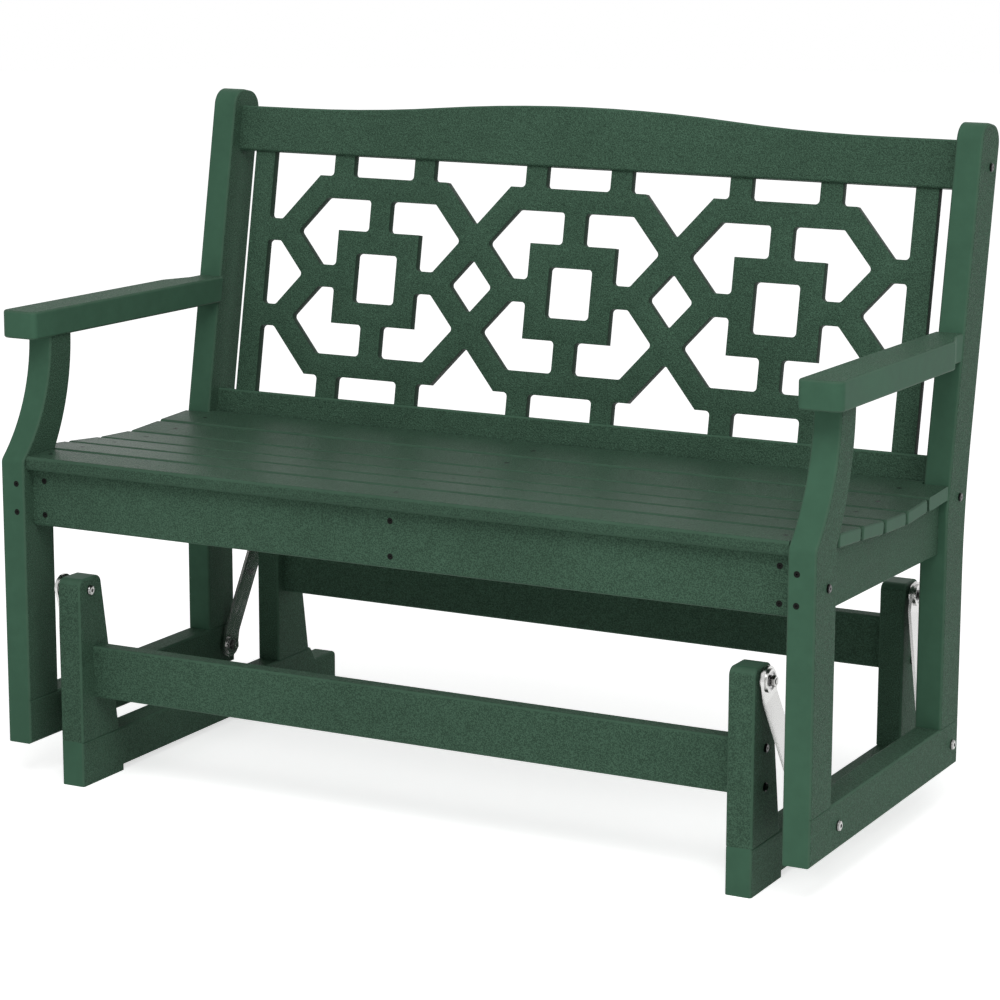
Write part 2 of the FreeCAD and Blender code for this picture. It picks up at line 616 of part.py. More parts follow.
def vee_opening(up, face):
    """The opening over a crossing of two bands, measured from the crossing's own middle."""
    foot = f"((tie_outer - cross_up - {RISE}) / {SLOPE})"
    side = "(lattice_pitch / 2 - stub_outer)"
    half = [(side, face), (side, "tie_outer"), (foot, "tie_outer")]
    outline = half + [("0", f"(cross_up + {RISE})")] + mirrored(half, -1)[::-1]
    return mirrored(outline, 1, up)


def link_openings():
    """Openings between two motifs: the vees above and below and the diamond."""
    high = f"(cross_up - {RISE})"
    wide = f"({high} / {SLOPE})"
    diamond = [(wide, "0"), ("0", high), (f"(-{wide})", "0"), ("0", f"(-{high})")]
    return [vee_opening(1, FACE_UP), vee_opening(-1, FACE_LOW), diamond]


def end_openings():
    """Openings between an outer motif and its stile, measured from the motif's middle."""
    edge = "(stile_inner - lattice_pitch)"
    shapes = []
    for up, face in ((1, FACE_UP), (-1, FACE_LOW)):
        arm = "(cross_up + end_arm_half)"
        foot = f"(lattice_pitch / 2 - (tie_outer - cross_up - {RISE}) / {SLOPE})"
        reach = f"(lattice_pitch / 2 + (cross_up + {RISE} - {arm}) / {SLOPE})"
        shapes.append(mirrored([("stub_outer", face), ("stub_outer", "tie_outer"), (foot, "tie_outer"),
                                (reach, arm), (edge, arm), (edge, face)], 1, up))
    arm = "(cross_up - end_arm_half)"
    tip = f"(lattice_pitch / 2 - (cross_up - {RISE}) / {SLOPE})"
    shapes.append([(tip, "0"), (f"({tip} + {arm} / {SLOPE})", f"(-{arm})"), (edge, f"(-{arm})"), (edge, arm),
                   (f"({tip} + {arm} / {SLOPE})", arm)])
    return shapes


def inner_corners(corners):
    """Places of an opening's corners that a round cutter leaves rounded, as numbers."""
    spots = [FreeCAD.Vector(number(across), 0, number(up)) for across, up in corners]
    turns = []
    for index, spot in enumerate(spots):
        before = spot - spots[index - 1]
        after = spots[(index + 1) % len(spots)] - spot
        turns.append(before.cross(after).y)
    area = sum(spot.cross(spots[(index + 1) % len(spots)]).y for index, spot in enumerate(spots))
    return [spot for spot, turn in zip(spots, turns) if turn * area > 0]


def cut_openings(body, shapes):
    """Cuts a set of openings and returns the cut and the openings' inner corners."""
    outline = new_sketch(body, "XZ_Plane")
    for corners in shapes:
        draw(outline, corners)
    return pocket(body, outline), [spot for corners in shapes for spot in inner_corners(corners)]


def repeat_cut(body, cut, kind, settings):
    """Repeats a cut by a pattern or a mirror."""
    made = body.newObject(f"PartDesign::{kind}", kind)
    made.Originals = [cut]
    settings(made)
    body.Tip = made
    doc.recompute()


def in_row(count):
    """Settings of a row of cuts one motif apart."""
    def settings(made):
        body = made.getParentGeoFeatureGroup()
        made.Direction = (next(item for item in body.Origin.OriginFeatures if item.Role == "X_Axis"), [""])
        made.setExpression("Length", bound(f"lattice_pitch * {count - 1}"))
        made.Occurrences = count
    return settings


def at_both_ends(made):
    """Settings of a cut repeated on the other side of the middle."""
    body = made.getParentGeoFeatureGroup()
    made.MirrorPlane = (next(item for item in body.Origin.OriginFeatures if item.Role == "YZ_Plane"), [""])


def make_lattice():
    """The fretwork panel: three motifs of a square in a ring of crossing bands, between two stiles."""
    body = new_body("lattice_panel")
    outline = new_sketch(body, "XZ_Plane")
    draw(outline, rectangle("(-stile_outer)", f"(-{LATTICE_LOW})", "stile_outer", LATTICE_TOP))
    pad(body, outline, "lattice_thick", reverse=True)
    pitch = number("lattice_pitch")
    rounded = []
    for openings, count in ((motif_openings(), 3), (link_openings(), 2)):
        first = f"(-lattice_pitch * {(count - 1) / 2})"
        cut, corners = cut_openings(body, [shifted(shape, first) for shape in openings])
        repeat_cut(body, cut, "LinearPattern", in_row(count))
        rounded += [spot + FreeCAD.Vector(step * pitch, 0, 0) for spot in corners for step in range(count)]
    cut, corners = cut_openings(body, [shifted(shape, "lattice_pitch") for shape in end_openings()])
    repeat_cut(body, cut, "Mirrored", at_both_ends)
    rounded += corners + [FreeCAD.Vector(-spot.x, 0, spot.z) for spot in corners]
    top = number("crest_under")
    low = -number("low_rail_top")
    rounded = [spot for spot in rounded if low < spot.z < top]
    soften(body, "cutter_round", lambda edge: runs_along("Y")(edge) and any(
        abs(spot.x - edge.CenterOfMass.x) + abs(spot.z - edge.CenterOfMass.z) < 0.01 for spot in rounded))
    place_on_back(body, LATTICE_BEHIND)


# Base: runners, uprights and stretchers

def make_base():
    """Two runners with feet, four tapered uprights and two stretchers."""
    end = "(base_front + base_length)"
    heel = "(rear_upright + upright_foot + tail_start)"
    for side, sign in SIDES:
        across = lower_side(sign, BASE_OUT, "base_board")
        corners = [("base_front", "0"), ("(base_front + foot_length)", "0"),
                   ("(base_front + foot_length)", "foot_raise"), (f"({end} - foot_length)", "foot_raise"),
                   (f"({end} - foot_length)", "0"), (end, "0"), (end, "tail_high"),
                   (f"({heel} + tail_slope)", "tail_high"), (heel, "base_deep"), ("base_front", "base_deep")]
        runner = side_board(f"base_runner_{side}", corners, "base_board", across)
        rear = number(heel) - 0.1
        low = number("foot_raise") + 0.1
        high = number("base_deep") - 0.1
        soften(runner, "tail_corner", lambda edge: runs_along("X")(edge) and edge.CenterOfMass.y > rear
               and edge.CenterOfMass.z > low)
        soften(runner, "arris", lambda edge: flat_in("X")(edge) and edge.CenterOfMass.z > low)
        for place_name, front in (("front", "base_front"), ("rear", "rear_upright")):
            depth = "(upright_foot - upright_taper * (upright_top - base_deep))"
            corners = [(front, "base_deep"), (f"({front} + upright_foot)", "base_deep"),
                       (f"({front} + {depth})", "upright_top"), (front, "upright_top")]
            upright = side_board(f"base_upright_{place_name}_{side}", corners, "base_board", across)
            high_up = number("upright_top") - 0.1
            soften(upright, "upright_round",
                   lambda edge: runs_along("X")(edge) and edge.CenterOfMass.z > high_up)
            soften(upright, "arris", lambda edge: flat_in("X")(edge) and edge.CenterOfMass.z > high + 1)
    cross_board("front_stretcher", "front_bar", "front_bar_under", "rail_thick", "bar_deep", BASE_IN)
    cross_board("rear_stretcher", "rear_bar", "rear_bar_under", "rail_thick", "bar_deep", BASE_IN)


# Links: straps with bearing cups, and their bearings

UPPER_CUP = f"({BASE_OUT} + washer_thick + side_gap + cup_length / 2)"
LOWER_CUP = f"({LEG_IN} - washer_thick - side_gap - cup_length / 2)"
PIVOTS = {"front": ("(base_front + pivot_set)", "front_pivot_low"),
          "rear": ("(rear_upright + pivot_set)", "rear_pivot_low")}


def link_length(upper, lower):
    """Distance from the upper to the lower pivot of a link."""
    return f"(((pivot_up - pivot_low) ^ 2 + ({upper} - {lower}) ^ 2) ^ 0.5)"


def turned_cylinder(body, kind, radius, length, across, up):
    """A round boss or bore along X in a link, centred at a place along the strap."""
    made = body.newObject(f"PartDesign::{kind}Cylinder", kind)
    made.setExpression("Radius", bound(radius))
    made.setExpression("Height", bound(length))
    spot = f"vector({across} - {length} / 2; 0; {up})"
    made.setExpression("Placement", bound(f"placement({spot}; rotation(vector(0; 1; 0); 90))"))
    body.Tip = made
    doc.recompute()


def make_link(place_name, side, sign):
    """One swinging link: a cranked strap with a bearing cup welded at each end."""
    upper, lower = PIVOTS[place_name]
    length = link_length(upper, lower)
    body = new_body(f"link_strap_{place_name}_{side}")
    outline = new_sketch(body, "XZ_Plane")
    high = f"({sign} * {UPPER_CUP})"
    low = f"({sign} * {LOWER_CUP})"
    half = "strap_thick / 2"
    end = "strap_width / 2"
    near = [(f"({low} - {half})", f"(-{end})"), (f"({low} - {half})", "strap_flat"),
            (f"({high} - {half})", f"({length} - strap_flat)"), (f"({high} - {half})", f"({length} + {end})")]
    far = [(f"({across} + strap_thick)", up) for across, up in near]
    draw(outline, near + far[::-1])
    pad(body, outline, "strap_width", both_ways=True)
    top = number(length)
    soften(body, "(strap_width / 2 - 0.05)", lambda edge: runs_along("X")(edge)
           and not 0 < edge.CenterOfMass.z < top)
    for across, up in ((low, "0"), (high, length)):
        turned_cylinder(body, "Additive", "cup_radius", "cup_length", across, up)
        turned_cylinder(body, "Subtractive", "(bearing_radius + 0.05)", "(cup_length + 2)", across, up)
    place(body, "0", lower, "pivot_low", f"(-atan(({upper} - {lower}) / (pivot_up - pivot_low)))")


def ring(inner, outer, length, centre):
    """A plain ring along X round a centre."""
    start = centre - FreeCAD.Vector(length / 2, 0, 0)
    along = FreeCAD.Vector(1, 0, 0)
    return Part.makeCylinder(outer, length, start, along).cut(Part.makeCylinder(inner, length, start, along))


def make_bearings(place_name, side, sign):
    """The two sealed bearings of a link. The rear lower one is bored wide, where the linkage is opened."""
    outer = number("bearing_radius")
    length = number("bearing_length")
    shaft = number("bolt_radius + running_gap")
    loose = number("bolt_radius + swing_room")
    seal = number("bearing_seal")
    race = number("bearing_race")
    rings = []
    spots = ((PIVOTS[place_name][0], "pivot_up", UPPER_CUP), (PIVOTS[place_name][1], "pivot_low", LOWER_CUP))
    for back, up, across in spots:
        inner = loose if (back == "rear_pivot_low") else shaft
        centre = point(f"({sign} * {across})", back, up)
        solid = ring(inner, outer, length, centre)
        for end in (-1, 1):
            face = centre + FreeCAD.Vector(end * (length - seal) / 2, 0, 0)
            solid = solid.cut(ring((inner + outer - race) / 2, outer - race, seal, face))
        rings.append(solid)
    return group(f"bearings_{place_name}_{side}", rings)


# Fasteners: each kind is one solid, placed as often as it is needed

def group(name, solids):
    """Several separate solids under one name."""
    made = doc.addObject("Part::Feature", name)
    made.Label = name
    made.Shape = Part.makeCompound(solids)
    NODES[name] = made
    return made


def turned(profile):
    """A solid turned about Z from points given as radius and height."""
    points = [FreeCAD.Vector(radius, 0, height) for radius, height in profile]
    face = Part.Face(Part.makePolygon(points + points[:1]))
    return face.revolve(FreeCAD.Vector(), FreeCAD.Vector(0, 0, 1), 360)


def screw(kind, slack=0.0):
    """A screw along -Z, its head's seat at the origin, or the hole that it needs, with slack."""
    shank = number(kind) + slack
    head = number(f"{kind}_head") + slack
    long = number(f"{kind}_long") + slack
    tip = 2 * shank
    if kind in ("slat_screw", "frame_screw"):
        sink = head - shank
        profile = [(0, 0), (head, 0), (shank, -sink), (shank, tip - long), (0, -long)]
        socket_top = 0.0
        if slack:
            profile[0:2] = [(0, 5), (head, 5), (head, 0)]
    else:
        high = number(f"{kind}_high")
        bevel = high * 0.4
        profile = [(0, high), (head - bevel, high), (head, high - bevel), (head, 0), (shank, 0),
                   (shank, tip - long), (0, -long)]
        socket_top = high
        if slack:
            deep = number("lag_sink") if kind == "lag_screw" else 5.0
            profile[0:3] = [(0, deep + 5), (head + 1, deep + 5), (head + 1, 0)]
            profile[3:4] = []
    solid = turned(profile)
    if slack:
        return solid
    wide = shank * 0.9
    depth = shank * 0.8
    corner = FreeCAD.Vector(-wide / 2, -wide / 2, socket_top - depth)
    return solid.cut(Part.makeBox(wide, wide, depth + 1, corner))


def aimed(solid, spot, along):
    """A copy of a solid that was made along -Z, moved to a spot and pointed along a direction."""
    made = solid.copy()
    made.Placement = FreeCAD.Placement(spot, FreeCAD.Rotation(FreeCAD.Vector(0, 0, -1), along))
    return made


HOLES = {}


def fasten(name, kind, spots):
    """A group of screws. Each spot gives the seat of the head, the direction and the boards it passes."""
    solid = screw(kind)
    hole = screw(kind, number("bore_slack"))
    group(name, [aimed(solid, spot, along) for spot, along, boards in spots])
    for spot, along, boards in spots:
        for board in boards:
            HOLES.setdefault(board, []).append(aimed(hole, spot, along))


X_AXIS = FreeCAD.Vector(1, 0, 0)
Y_AXIS = FreeCAD.Vector(0, 1, 0)
Z_AXIS = FreeCAD.Vector(0, 0, 1)


def make_slat_screws():
    """Countersunk screws through every slat into the three supports."""
    dips = ("0", "dip_three", "dip_four", "dip_five", "dip_six", "dip_end")
    names = ("second", "third", "fourth", "fifth", "rear")
    spots = []
    for place_name, across in (("left", f"(-{SUPPORT_MID})"), ("middle", "0"), ("right", SUPPORT_MID)):
        support = f"seat_support_{place_name}"
        seat = point(across, "(nose_front + nose_width / 2)", "(seat_level + slat_thick - head_sunk)")
        spots.append((seat, -Z_AXIS, ("seat_slat_front", "front_apron")))
        for count, name in enumerate(names):
            run = "last_width" if name == "rear" else "slat_pitch"
            rise = f"({dips[count]} - {dips[count + 1]})"
            tilt = f"atan({rise} / {run})"
            half = "(slat_pitch - slat_gap) / 2"
            top = "(slat_thick - head_sunk)"
            back = f"(slat_front + {count} * slat_pitch + {half} * cos({tilt}) - {top} * sin({tilt}))"
            up = f"(seat_level - {dips[count]} + {half} * sin({tilt}) + {top} * cos({tilt}))"
            along = FreeCAD.Vector(0, number(f"sin({tilt})"), -number(f"cos({tilt})"))
            spots.append((point(across, back, up), along, (f"seat_slat_{name}", support)))
    fasten("slat_screws", "slat_screw", spots)


def make_frame_screws():
    """Countersunk screws through the aprons and the fronts of the legs into the boards behind them."""
    front = "(apron_front + head_sunk)"
    rear = "(rear_apron_front + board - head_sunk)"
    spots = []
    for place_name, across in (("left", f"(-{SUPPORT_MID})"), ("middle", "0"), ("right", SUPPORT_MID)):
        support = f"seat_support_{place_name}"
        for up in ("(apron_under + apron_screw_low)", "(apron_under + apron_screw_high)"):
            spots.append((point(across, front, up), Y_AXIS, ("front_apron", support)))
        for up in ("(apron_under + apron_screw_low)", "(apron_under + rear_apron_screw)"):
            spots.append((point(across, rear, up), -Y_AXIS, ("rear_apron", support)))
    for side, sign in SIDES:
        rail = f"({sign} * {RAIL_MID})"
        for up in ("(apron_under + leg_screw_low)", "(apron_under + leg_screw_high)"):
            spots.append((point(rail, "head_sunk", up), Y_AXIS, (f"front_leg_{side}", f"side_rail_{side}")))
        up = "(apron_under + post_screw)"
        spots.append((point(rail, f"({post_rear(up)} - head_sunk)", up), -Y_AXIS,
                      (f"rear_post_{side}", f"side_rail_{side}")))
    fasten("frame_screws", "frame_screw", spots)


def make_side_screws():
    """Button-headed screws through the outer faces of legs and posts."""
    spots = []
    for side, sign in SIDES:
        inward = -X_AXIS * sign
        face = f"({sign} * {LEG_OUT})"
        low = point(face, "(apron_front + board / 2)", "(apron_under + front_side_screw)")
        spots.append((low, inward, (f"front_leg_{side}", "front_apron")))
        low = point(face, "(rear_apron_front + board / 2)", "(apron_under + rear_side_screw)")
        spots.append((low, inward, (f"rear_post_{side}", "rear_apron")))
        behind = f"({RAIL_BEHIND} + rail_thick - side_screw - crest_screw_edge)"
        spots.append((back_point(face, behind, "(crest_under + crest_deep / 2)"), inward,
                      (f"rear_post_{side}", "crest_rail")))
    fasten("side_screws", "side_screw", spots)


def make_lag_screws():
    """Lag screws with sunk heads: up through the runners, and through the posts into the armrests."""
    across = f"({LEG_OUT} - board / 2)"
    seat_feet = (("(leg_depth / 2)", "front_leg"), ("(post_front + post_depth / 2)", "rear_post"))
    spots = runner_lags(across, "runner_under", seat_feet, "seat_runner")
    forward = FreeCAD.Vector(0, -number("cos(lean)"), number("sin(lean)"))
    along = "((arm_top - arm_thick * 0.75 - post_bend) / cos(lean) - back_middle)"
    for side, sign in SIDES:
        seat = back_point(f"({sign} * {across})", "(post_depth - lag_screw_high - 1)", along)
        spots.append((seat, forward, (f"rear_post_{side}", f"armrest_{side}")))
    fasten("seat_lag_screws", "lag_screw", spots)
    across = f"({BASE_OUT} - base_board / 2)"
    base_feet = (("(base_front + upright_foot / 2)", "base_upright_front"),
                 ("(rear_upright + upright_foot / 2)", "base_upright_rear"))
    fasten("base_lag_screws", "lag_screw", runner_lags(across, "0", base_feet, "base_runner"))


def runner_lags(across, under, feet, runner):
    """Two screws up through a runner into each board that stands on it."""
    spots = []
    for side, sign in SIDES:
        for back, upper in feet:
            for step in ("(-lag_apart / 2)", "(lag_apart / 2)"):
                seat = point(f"({sign} * {across})", f"({back} + {step})", f"({under} + lag_sink)")
                spots.append((seat, Z_AXIS, (f"{upper}_{side}", f"{runner}_{side}")))
    return spots


def make_stretcher_screws():
    """Button-headed screws through the uprights into the ends of the stretchers."""
    spots = []
    for side, sign in SIDES:
        for place_name in ("front", "rear"):
            back = f"({place_name}_bar + {place_name}_bar_screw)"
            for up in ("bar_screw_low", "(bar_deep - bar_screw_high)"):
                seat = point(f"({sign} * {BASE_OUT})", back, f"({place_name}_bar_under + {up})")
                spots.append((seat, -X_AXIS * sign,
                              (f"base_upright_{place_name}_{side}", f"{place_name}_stretcher")))
    fasten("stretcher_screws", "side_screw", spots)


def make_dowels():
    """Blind dowels where no screw shows: leg into armrest, low rail and crest rail into the posts."""
    long = number("dowel_long")
    slack = number("bore_slack")
    pins = []
    for side, sign in SIDES:
        face = f"({sign} * ({LEG_IN} - dowel_long / 2 + dowel_in_post))"
        middle = f"({RAIL_BEHIND} + rail_thick / 2)"
        for along, rail in (("(-low_rail_top - low_rail_deep * dowel_low)", "low_back_rail"),
                            ("(crest_under + lattice_tongue + dowel * 2)", "crest_rail")):
            pins.append((back_point(face, middle, along), X_AXIS, (rail, f"rear_post_{side}")))
        leg = f"({sign} * ({LEG_OUT} - board / 2))"
        back = "(leg_sweep + leg_neck / 2)"
        up = arm_line(back, "(arm_thick + dowel_long / 2 - dowel_in_arm)")
        pins.append((point(leg, back, up), Z_AXIS, (f"front_leg_{side}", f"armrest_{side}")))
    solids = []
    for centre, along, boards in pins:
        solids.append(Part.makeCylinder(number("dowel"), long, centre - along * (long / 2), along))
        hole = Part.makeCylinder(number("dowel") + slack, long + 1, centre - along * ((long + 1) / 2), along)
        for board in boards:
            HOLES.setdefault(board, []).append(hole)
    group("dowels", solids)


def hexagon(across_flats, high):
    """A hexagonal prism up Z with its top corners turned down."""
    corner = across_flats / 3 ** 0.5
    turns = [FreeCAD.Rotation(Z_AXIS, 60 * step).multVec(FreeCAD.Vector(corner, 0, 0)) for step in range(6)]
    prism = Part.Face(Part.makePolygon(turns + turns[:1])).extrude(FreeCAD.Vector(0, 0, high))
    fall = (corner - across_flats / 2) * 0.6
    dome = turned([(0, 0), (corner, 0), (corner, high - fall), (corner - 2 * fall, high), (0, high)])
    return prism.common(dome)


def pivot_bolt(reach):
    """A bolt along -Z with a low round head and a hexagonal socket, its head's seat at the origin."""
    shank = number("bolt_radius")
    head = number("bolt_head")
    high = number("bolt_head_high")
    crown = high * 0.55
    domed = [(0, high), (head - crown, high), (head - crown * 0.35, high - crown * 0.3)]
    solid = turned(domed + [(head, high - crown),
                    (head, 0), (shank, 0), (shank, 1 - reach), (shank - 1, -reach), (0, -reach)])
    socket = hexagon(head * 0.72, high)
    socket.translate(FreeCAD.Vector(0, 0, high * 0.4))
    return solid.cut(socket)


def make_pivot_hardware():
    """Bolts, washers and nuts of the upper pivots in the base and of the lower pivots in the seat."""
    slack = number("bore_slack")
    shank = number("bolt_radius")
    nut_high = number("nut_high")
    washer = number("washer_thick")
    nut = hexagon(number("nut_across"), nut_high).cut(Part.makeCylinder(shank + slack, nut_high))
    plate = Part.makeCylinder(number("washer_radius"), washer)
    plate = plate.cut(Part.makeCylinder(shank + slack, washer))
    for row, level, face, turn, thick in (("upper", "pivot_up", BASE_IN, 1, "base_board"),
                                          ("lower", "pivot_low", LEG_OUT, -1, "board")):
        nut_at = number(f"{thick} + washer_thick + cup_length + 2 * side_gap")
        reach = nut_at + number("nut_high + bolt_end")
        bolt = pivot_bolt(reach)
        hole = Part.makeCylinder(shank + slack, reach, FreeCAD.Vector(), -Z_AXIS)
        bolts, nuts, washers = [], [], []
        for side, sign in SIDES:
            along = X_AXIS * sign * turn
            for place_name in PIVOTS:
                back = PIVOTS[place_name][0 if row == "upper" else 1]
                seat = point(f"({sign} * {face})", back, level)
                board = f"base_upright_{place_name}_{side}" if row == "upper" else f"seat_runner_{side}"
                bolts.append(aimed(bolt, seat, along))
                nuts.append(aimed(nut, seat + along * (nut_at + nut_high), along))
                washers.append(aimed(plate, seat + along * (number(thick) + washer), along))
                HOLES.setdefault(board, []).append(aimed(hole, seat, along))
        group(f"{row}_pivot_bolts", bolts)
        group(f"{row}_pivot_nuts", nuts)
        group(f"{row}_pivot_washers", washers)


def drill():
    """Cuts the holes for screws, bolts and dowels in the boards that they pass."""
    for board, holes in HOLES.items():
        blank = NODES[board]
        blank.Label = f"{board}_blank"
        bits = doc.addObject("Part::Feature", f"{board}_holes")
        bits.Shape = holes[0].multiFuse(holes[1:]) if len(holes) > 1 else holes[0]
        drilled = doc.addObject("Part::Cut", f"{board}_drilled")
        drilled.Base = blank
        drilled.Tool = bits
        drilled.Label = board
        NODES[board] = drilled
    doc.recompute()


# The whole bench

for side, sign in SIDES:
    make_seat_side(side, sign)
make_aprons()
make_supports()
make_slats()
make_back_rails()
make_lattice()
make_base()
for place_name in PIVOTS:
    for side, sign in SIDES:
        make_link(place_name, side, sign)
        make_bearings(place_name, side, sign)
make_slat_screws()
make_frame_screws()
make_side_screws()
make_lag_screws()
make_stretcher_screws()
make_dowels()
make_pivot_hardware()
drill()

# Every piece must be whole before any file is written
faults = [item.Label for item in doc.Objects if "Invalid" in item.State or "Error" in item.State]
faults += [name for name, item in NODES.items() if item.Shape.isNull() or not item.Shape.isValid()]
if faults:
    raise RuntimeError(f"failed pieces: {faults}")
os.makedirs("parts", exist_ok=True)
for name, item in NODES.items():
    item.Shape.exportStep(f"parts/{name}.step")
print(f"{len(NODES)} pieces written")
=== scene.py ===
"""Looks for a glider bench: pebbled plastic boards, fretwork back, steel links and a plain white studio."""

import math

import bmesh
import bpy
from bpy.props import FloatProperty, FloatVectorProperty, PointerProperty
from mathutils import Matrix, Vector


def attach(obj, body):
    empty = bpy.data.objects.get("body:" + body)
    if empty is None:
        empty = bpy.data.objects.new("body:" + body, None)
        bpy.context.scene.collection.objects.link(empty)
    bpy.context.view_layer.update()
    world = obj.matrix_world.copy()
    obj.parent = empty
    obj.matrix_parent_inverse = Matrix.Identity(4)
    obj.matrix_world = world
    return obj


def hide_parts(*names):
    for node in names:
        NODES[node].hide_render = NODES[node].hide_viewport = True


bl_info = {
    "name": "Glider bench",
    "version": (1, 0, 0),
    "blender": (4, 5, 0),
    "location": "View3D > Sidebar > Glider bench",
    "description": "Finishes a glider bench and sets it in a plain white studio",
    "category": "Object",
}

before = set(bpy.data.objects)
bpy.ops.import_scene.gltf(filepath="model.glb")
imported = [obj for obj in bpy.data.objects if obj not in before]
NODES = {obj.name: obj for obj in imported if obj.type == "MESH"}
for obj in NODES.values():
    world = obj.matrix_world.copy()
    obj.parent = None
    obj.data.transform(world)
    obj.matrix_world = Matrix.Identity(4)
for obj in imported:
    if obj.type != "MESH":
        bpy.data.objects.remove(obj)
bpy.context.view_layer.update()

AXES = {"sideways": (1, 0, 0), "forwards": (0, 1, 0), "upwards": (0, 0, 1)}

# The ways that the pebbled faces of each kind of board look
SKINS = {
    "sideways": ("sideways",),
    "forwards": ("forwards",),
    "upwards": ("upwards",),
    "upright": ("sideways", "forwards"),
    "runner": ("sideways", "upwards"),
    "stretcher": ("forwards", "upwards"),
    "slat": ("forwards", "upwards"),
    "fretwork": ("forwards",),
}

# Cosines between which a face counts as looking along an axis, and as an arris beside such a face, where a
# painted highlight goes
FACE_EDGE = (0.80, 0.95)
ARRIS_EDGE = (0.15, 0.45)

# Most of a noise lies between these two
NOISE_EDGE = (0.3, 0.7)

# The pebbled skin and the flecks on it, in grains; the flecks are partly the plastic's own tone and partly
# painted glints on the pebbles
PEBBLE_EDGE = (0.05, 0.75)
FLECK_SCALE = 1.35
FLECK_EDGE = (0.38, 0.64)

# How far a board's colour and roughness drift, and the height of saw marks against the pebbles'
COLOUR_DRIFT = (0.9, 1.1)
ROUGHNESS_DRIFT = (-0.04, 0.04)
SAW_HEIGHT = 0.06

# Metal: shares of its colour in the dull patches, in the painted shade on the rims of heads and in the
# brushed streaks
POLISH_SHADE = 0.85
PAINTED_RIM_SHADE = 0.45
STREAK_SHADE = 0.82
POLISH_HEIGHT = 0.00003
BRUSH_HEIGHT = 0.00004
LINK_ROUGHNESS = (0.16, 0.28)
BEARING_ROUGHNESS = 0.3
BOLT_ROUGHNESS = 0.18
SCREW_ROUGHNESS = 0.14

# The dark coating of the screws
SPECK_SCALE = 1400.0
SPECK_EDGE = (0.58, 0.7)
SPECK_LIGHT = 3.0
COATING_ROUGHNESS = (0.38, 0.55)
COATING_SHEEN = 0.1

# How far the front and the rear links lean from upright
FRONT_LEAN = math.radians(-16.3)
REAR_LEAN = math.radians(13.6)

# Fretwork edges sharper than the first are rounded, and those sharper than the second stay sharp in shading
RIM_ANGLE = math.radians(60)
SHARP_ANGLE = math.radians(32)

# Each lamp's width and depth, its place, and the point that it looks at
LAMPS = {
    "overhead": ((3.2, 2.6), (0.3, -0.4, 3.2), (0, 0, 0.4)),
    "front": ((2.6, 2.0), (1.1, -2.7, 3.6), (0, 0, 0.6)),
    "side": ((2.0, 2.0), (3.4, -1.4, 3.0), (0, 0, 0.6)),
    "low": ((2.4, 1.0), (0.5, -4.6, 0.7), (0, 0, 0.35)),
}
FLOOR_RADIUS = 14


# Settings


class BoardSettings(bpy.types.PropertyGroup):
    """Colour and texture of the plastic boards, with their painted highlights, glints and shade."""

    face_colour: FloatVectorProperty(
        name="Face colour",
        description="Colour of the pebbled wide faces",
        subtype="COLOR", size=3, min=0, max=1,
        default=(0.054, 0.108, 0.072),
    )
    cut_colour: FloatVectorProperty(
        name="Cut edge colour",
        description="Colour of the smooth cut edges and ends",
        subtype="COLOR", size=3, min=0, max=1,
        default=(0.055, 0.128, 0.082),
    )
    # Painted shade: the dark colour that the inner walls of the fretwork's openings take
    painted_wall_shade: FloatVectorProperty(
        name="Fretwork wall colour",
        description="Colour of the inner walls of the fretwork's openings",
        subtype="COLOR", size=3, min=0, max=1,
        default=(0.018, 0.041, 0.026),
    )
    # Fleck: the pebbles' own spread of tone, with painted glints mixed in
    fleck_and_glint: FloatProperty(
        name="Fleck",
        description="How much the pebbles differ in colour",
        subtype="FACTOR", default=0.32, min=0, max=1,
    )
    # Painted highlight: the rounded arrises are given a lighter colour
    painted_arris_highlight: FloatProperty(
        name="Arris light",
        description="How much lighter the rounded arrises are",
        subtype="FACTOR", default=0.16, min=0, max=2,
    )
    sheen: FloatProperty(
        name="Sheen",
        description="Strength of the reflection on the plastic",
        subtype="FACTOR", default=0.03, min=0, max=1,
    )
    slat_sheen: FloatProperty(
        name="Slat sheen",
        description="How strongly the seat slats, the smoothest boards, mirror the back above them",
        subtype="FACTOR", default=0.035, min=0, max=1,
    )
    slat_roughness: FloatProperty(
        name="Slat roughness",
        description="Roughness of the broad faces of the slats",
        subtype="FACTOR", default=0.33, min=0, max=1,
    )
    # Painted shade: the slats' colour is darkened against the other boards'
    painted_slat_shade: FloatProperty(
        name="Slat tone",
        description="Depth of the slats' colour against the other boards'",
        subtype="FACTOR", default=0.88, min=0, max=1,
    )
    grain_size: FloatProperty(
        name="Grain size",
        description="Distance from one pebble of the skin to the next",
        subtype="DISTANCE", unit="LENGTH",
        default=0.0023, min=0.0005, max=0.02,
    )
    grain_height: FloatProperty(
        name="Grain height",
        description="How far the pebbles stand out",
        subtype="DISTANCE", unit="LENGTH",
        default=0.0006, min=0, max=0.002,
    )
    face_roughness: FloatProperty(
        name="Face roughness",
        description="Roughness of the pebbled faces",
        subtype="FACTOR", default=0.5, min=0, max=1,
    )
    cut_roughness: FloatProperty(
        name="Cut edge roughness",
        description="Roughness of the cut edges",
        subtype="FACTOR", default=0.4, min=0, max=1,
    )
    rim_radius: FloatProperty(
        name="Fretwork rim radius",
        description="How far the rims of the fretwork are rounded over",
        subtype="DISTANCE", unit="LENGTH",
        default=0.0032, min=0.0005, max=0.004,
    )


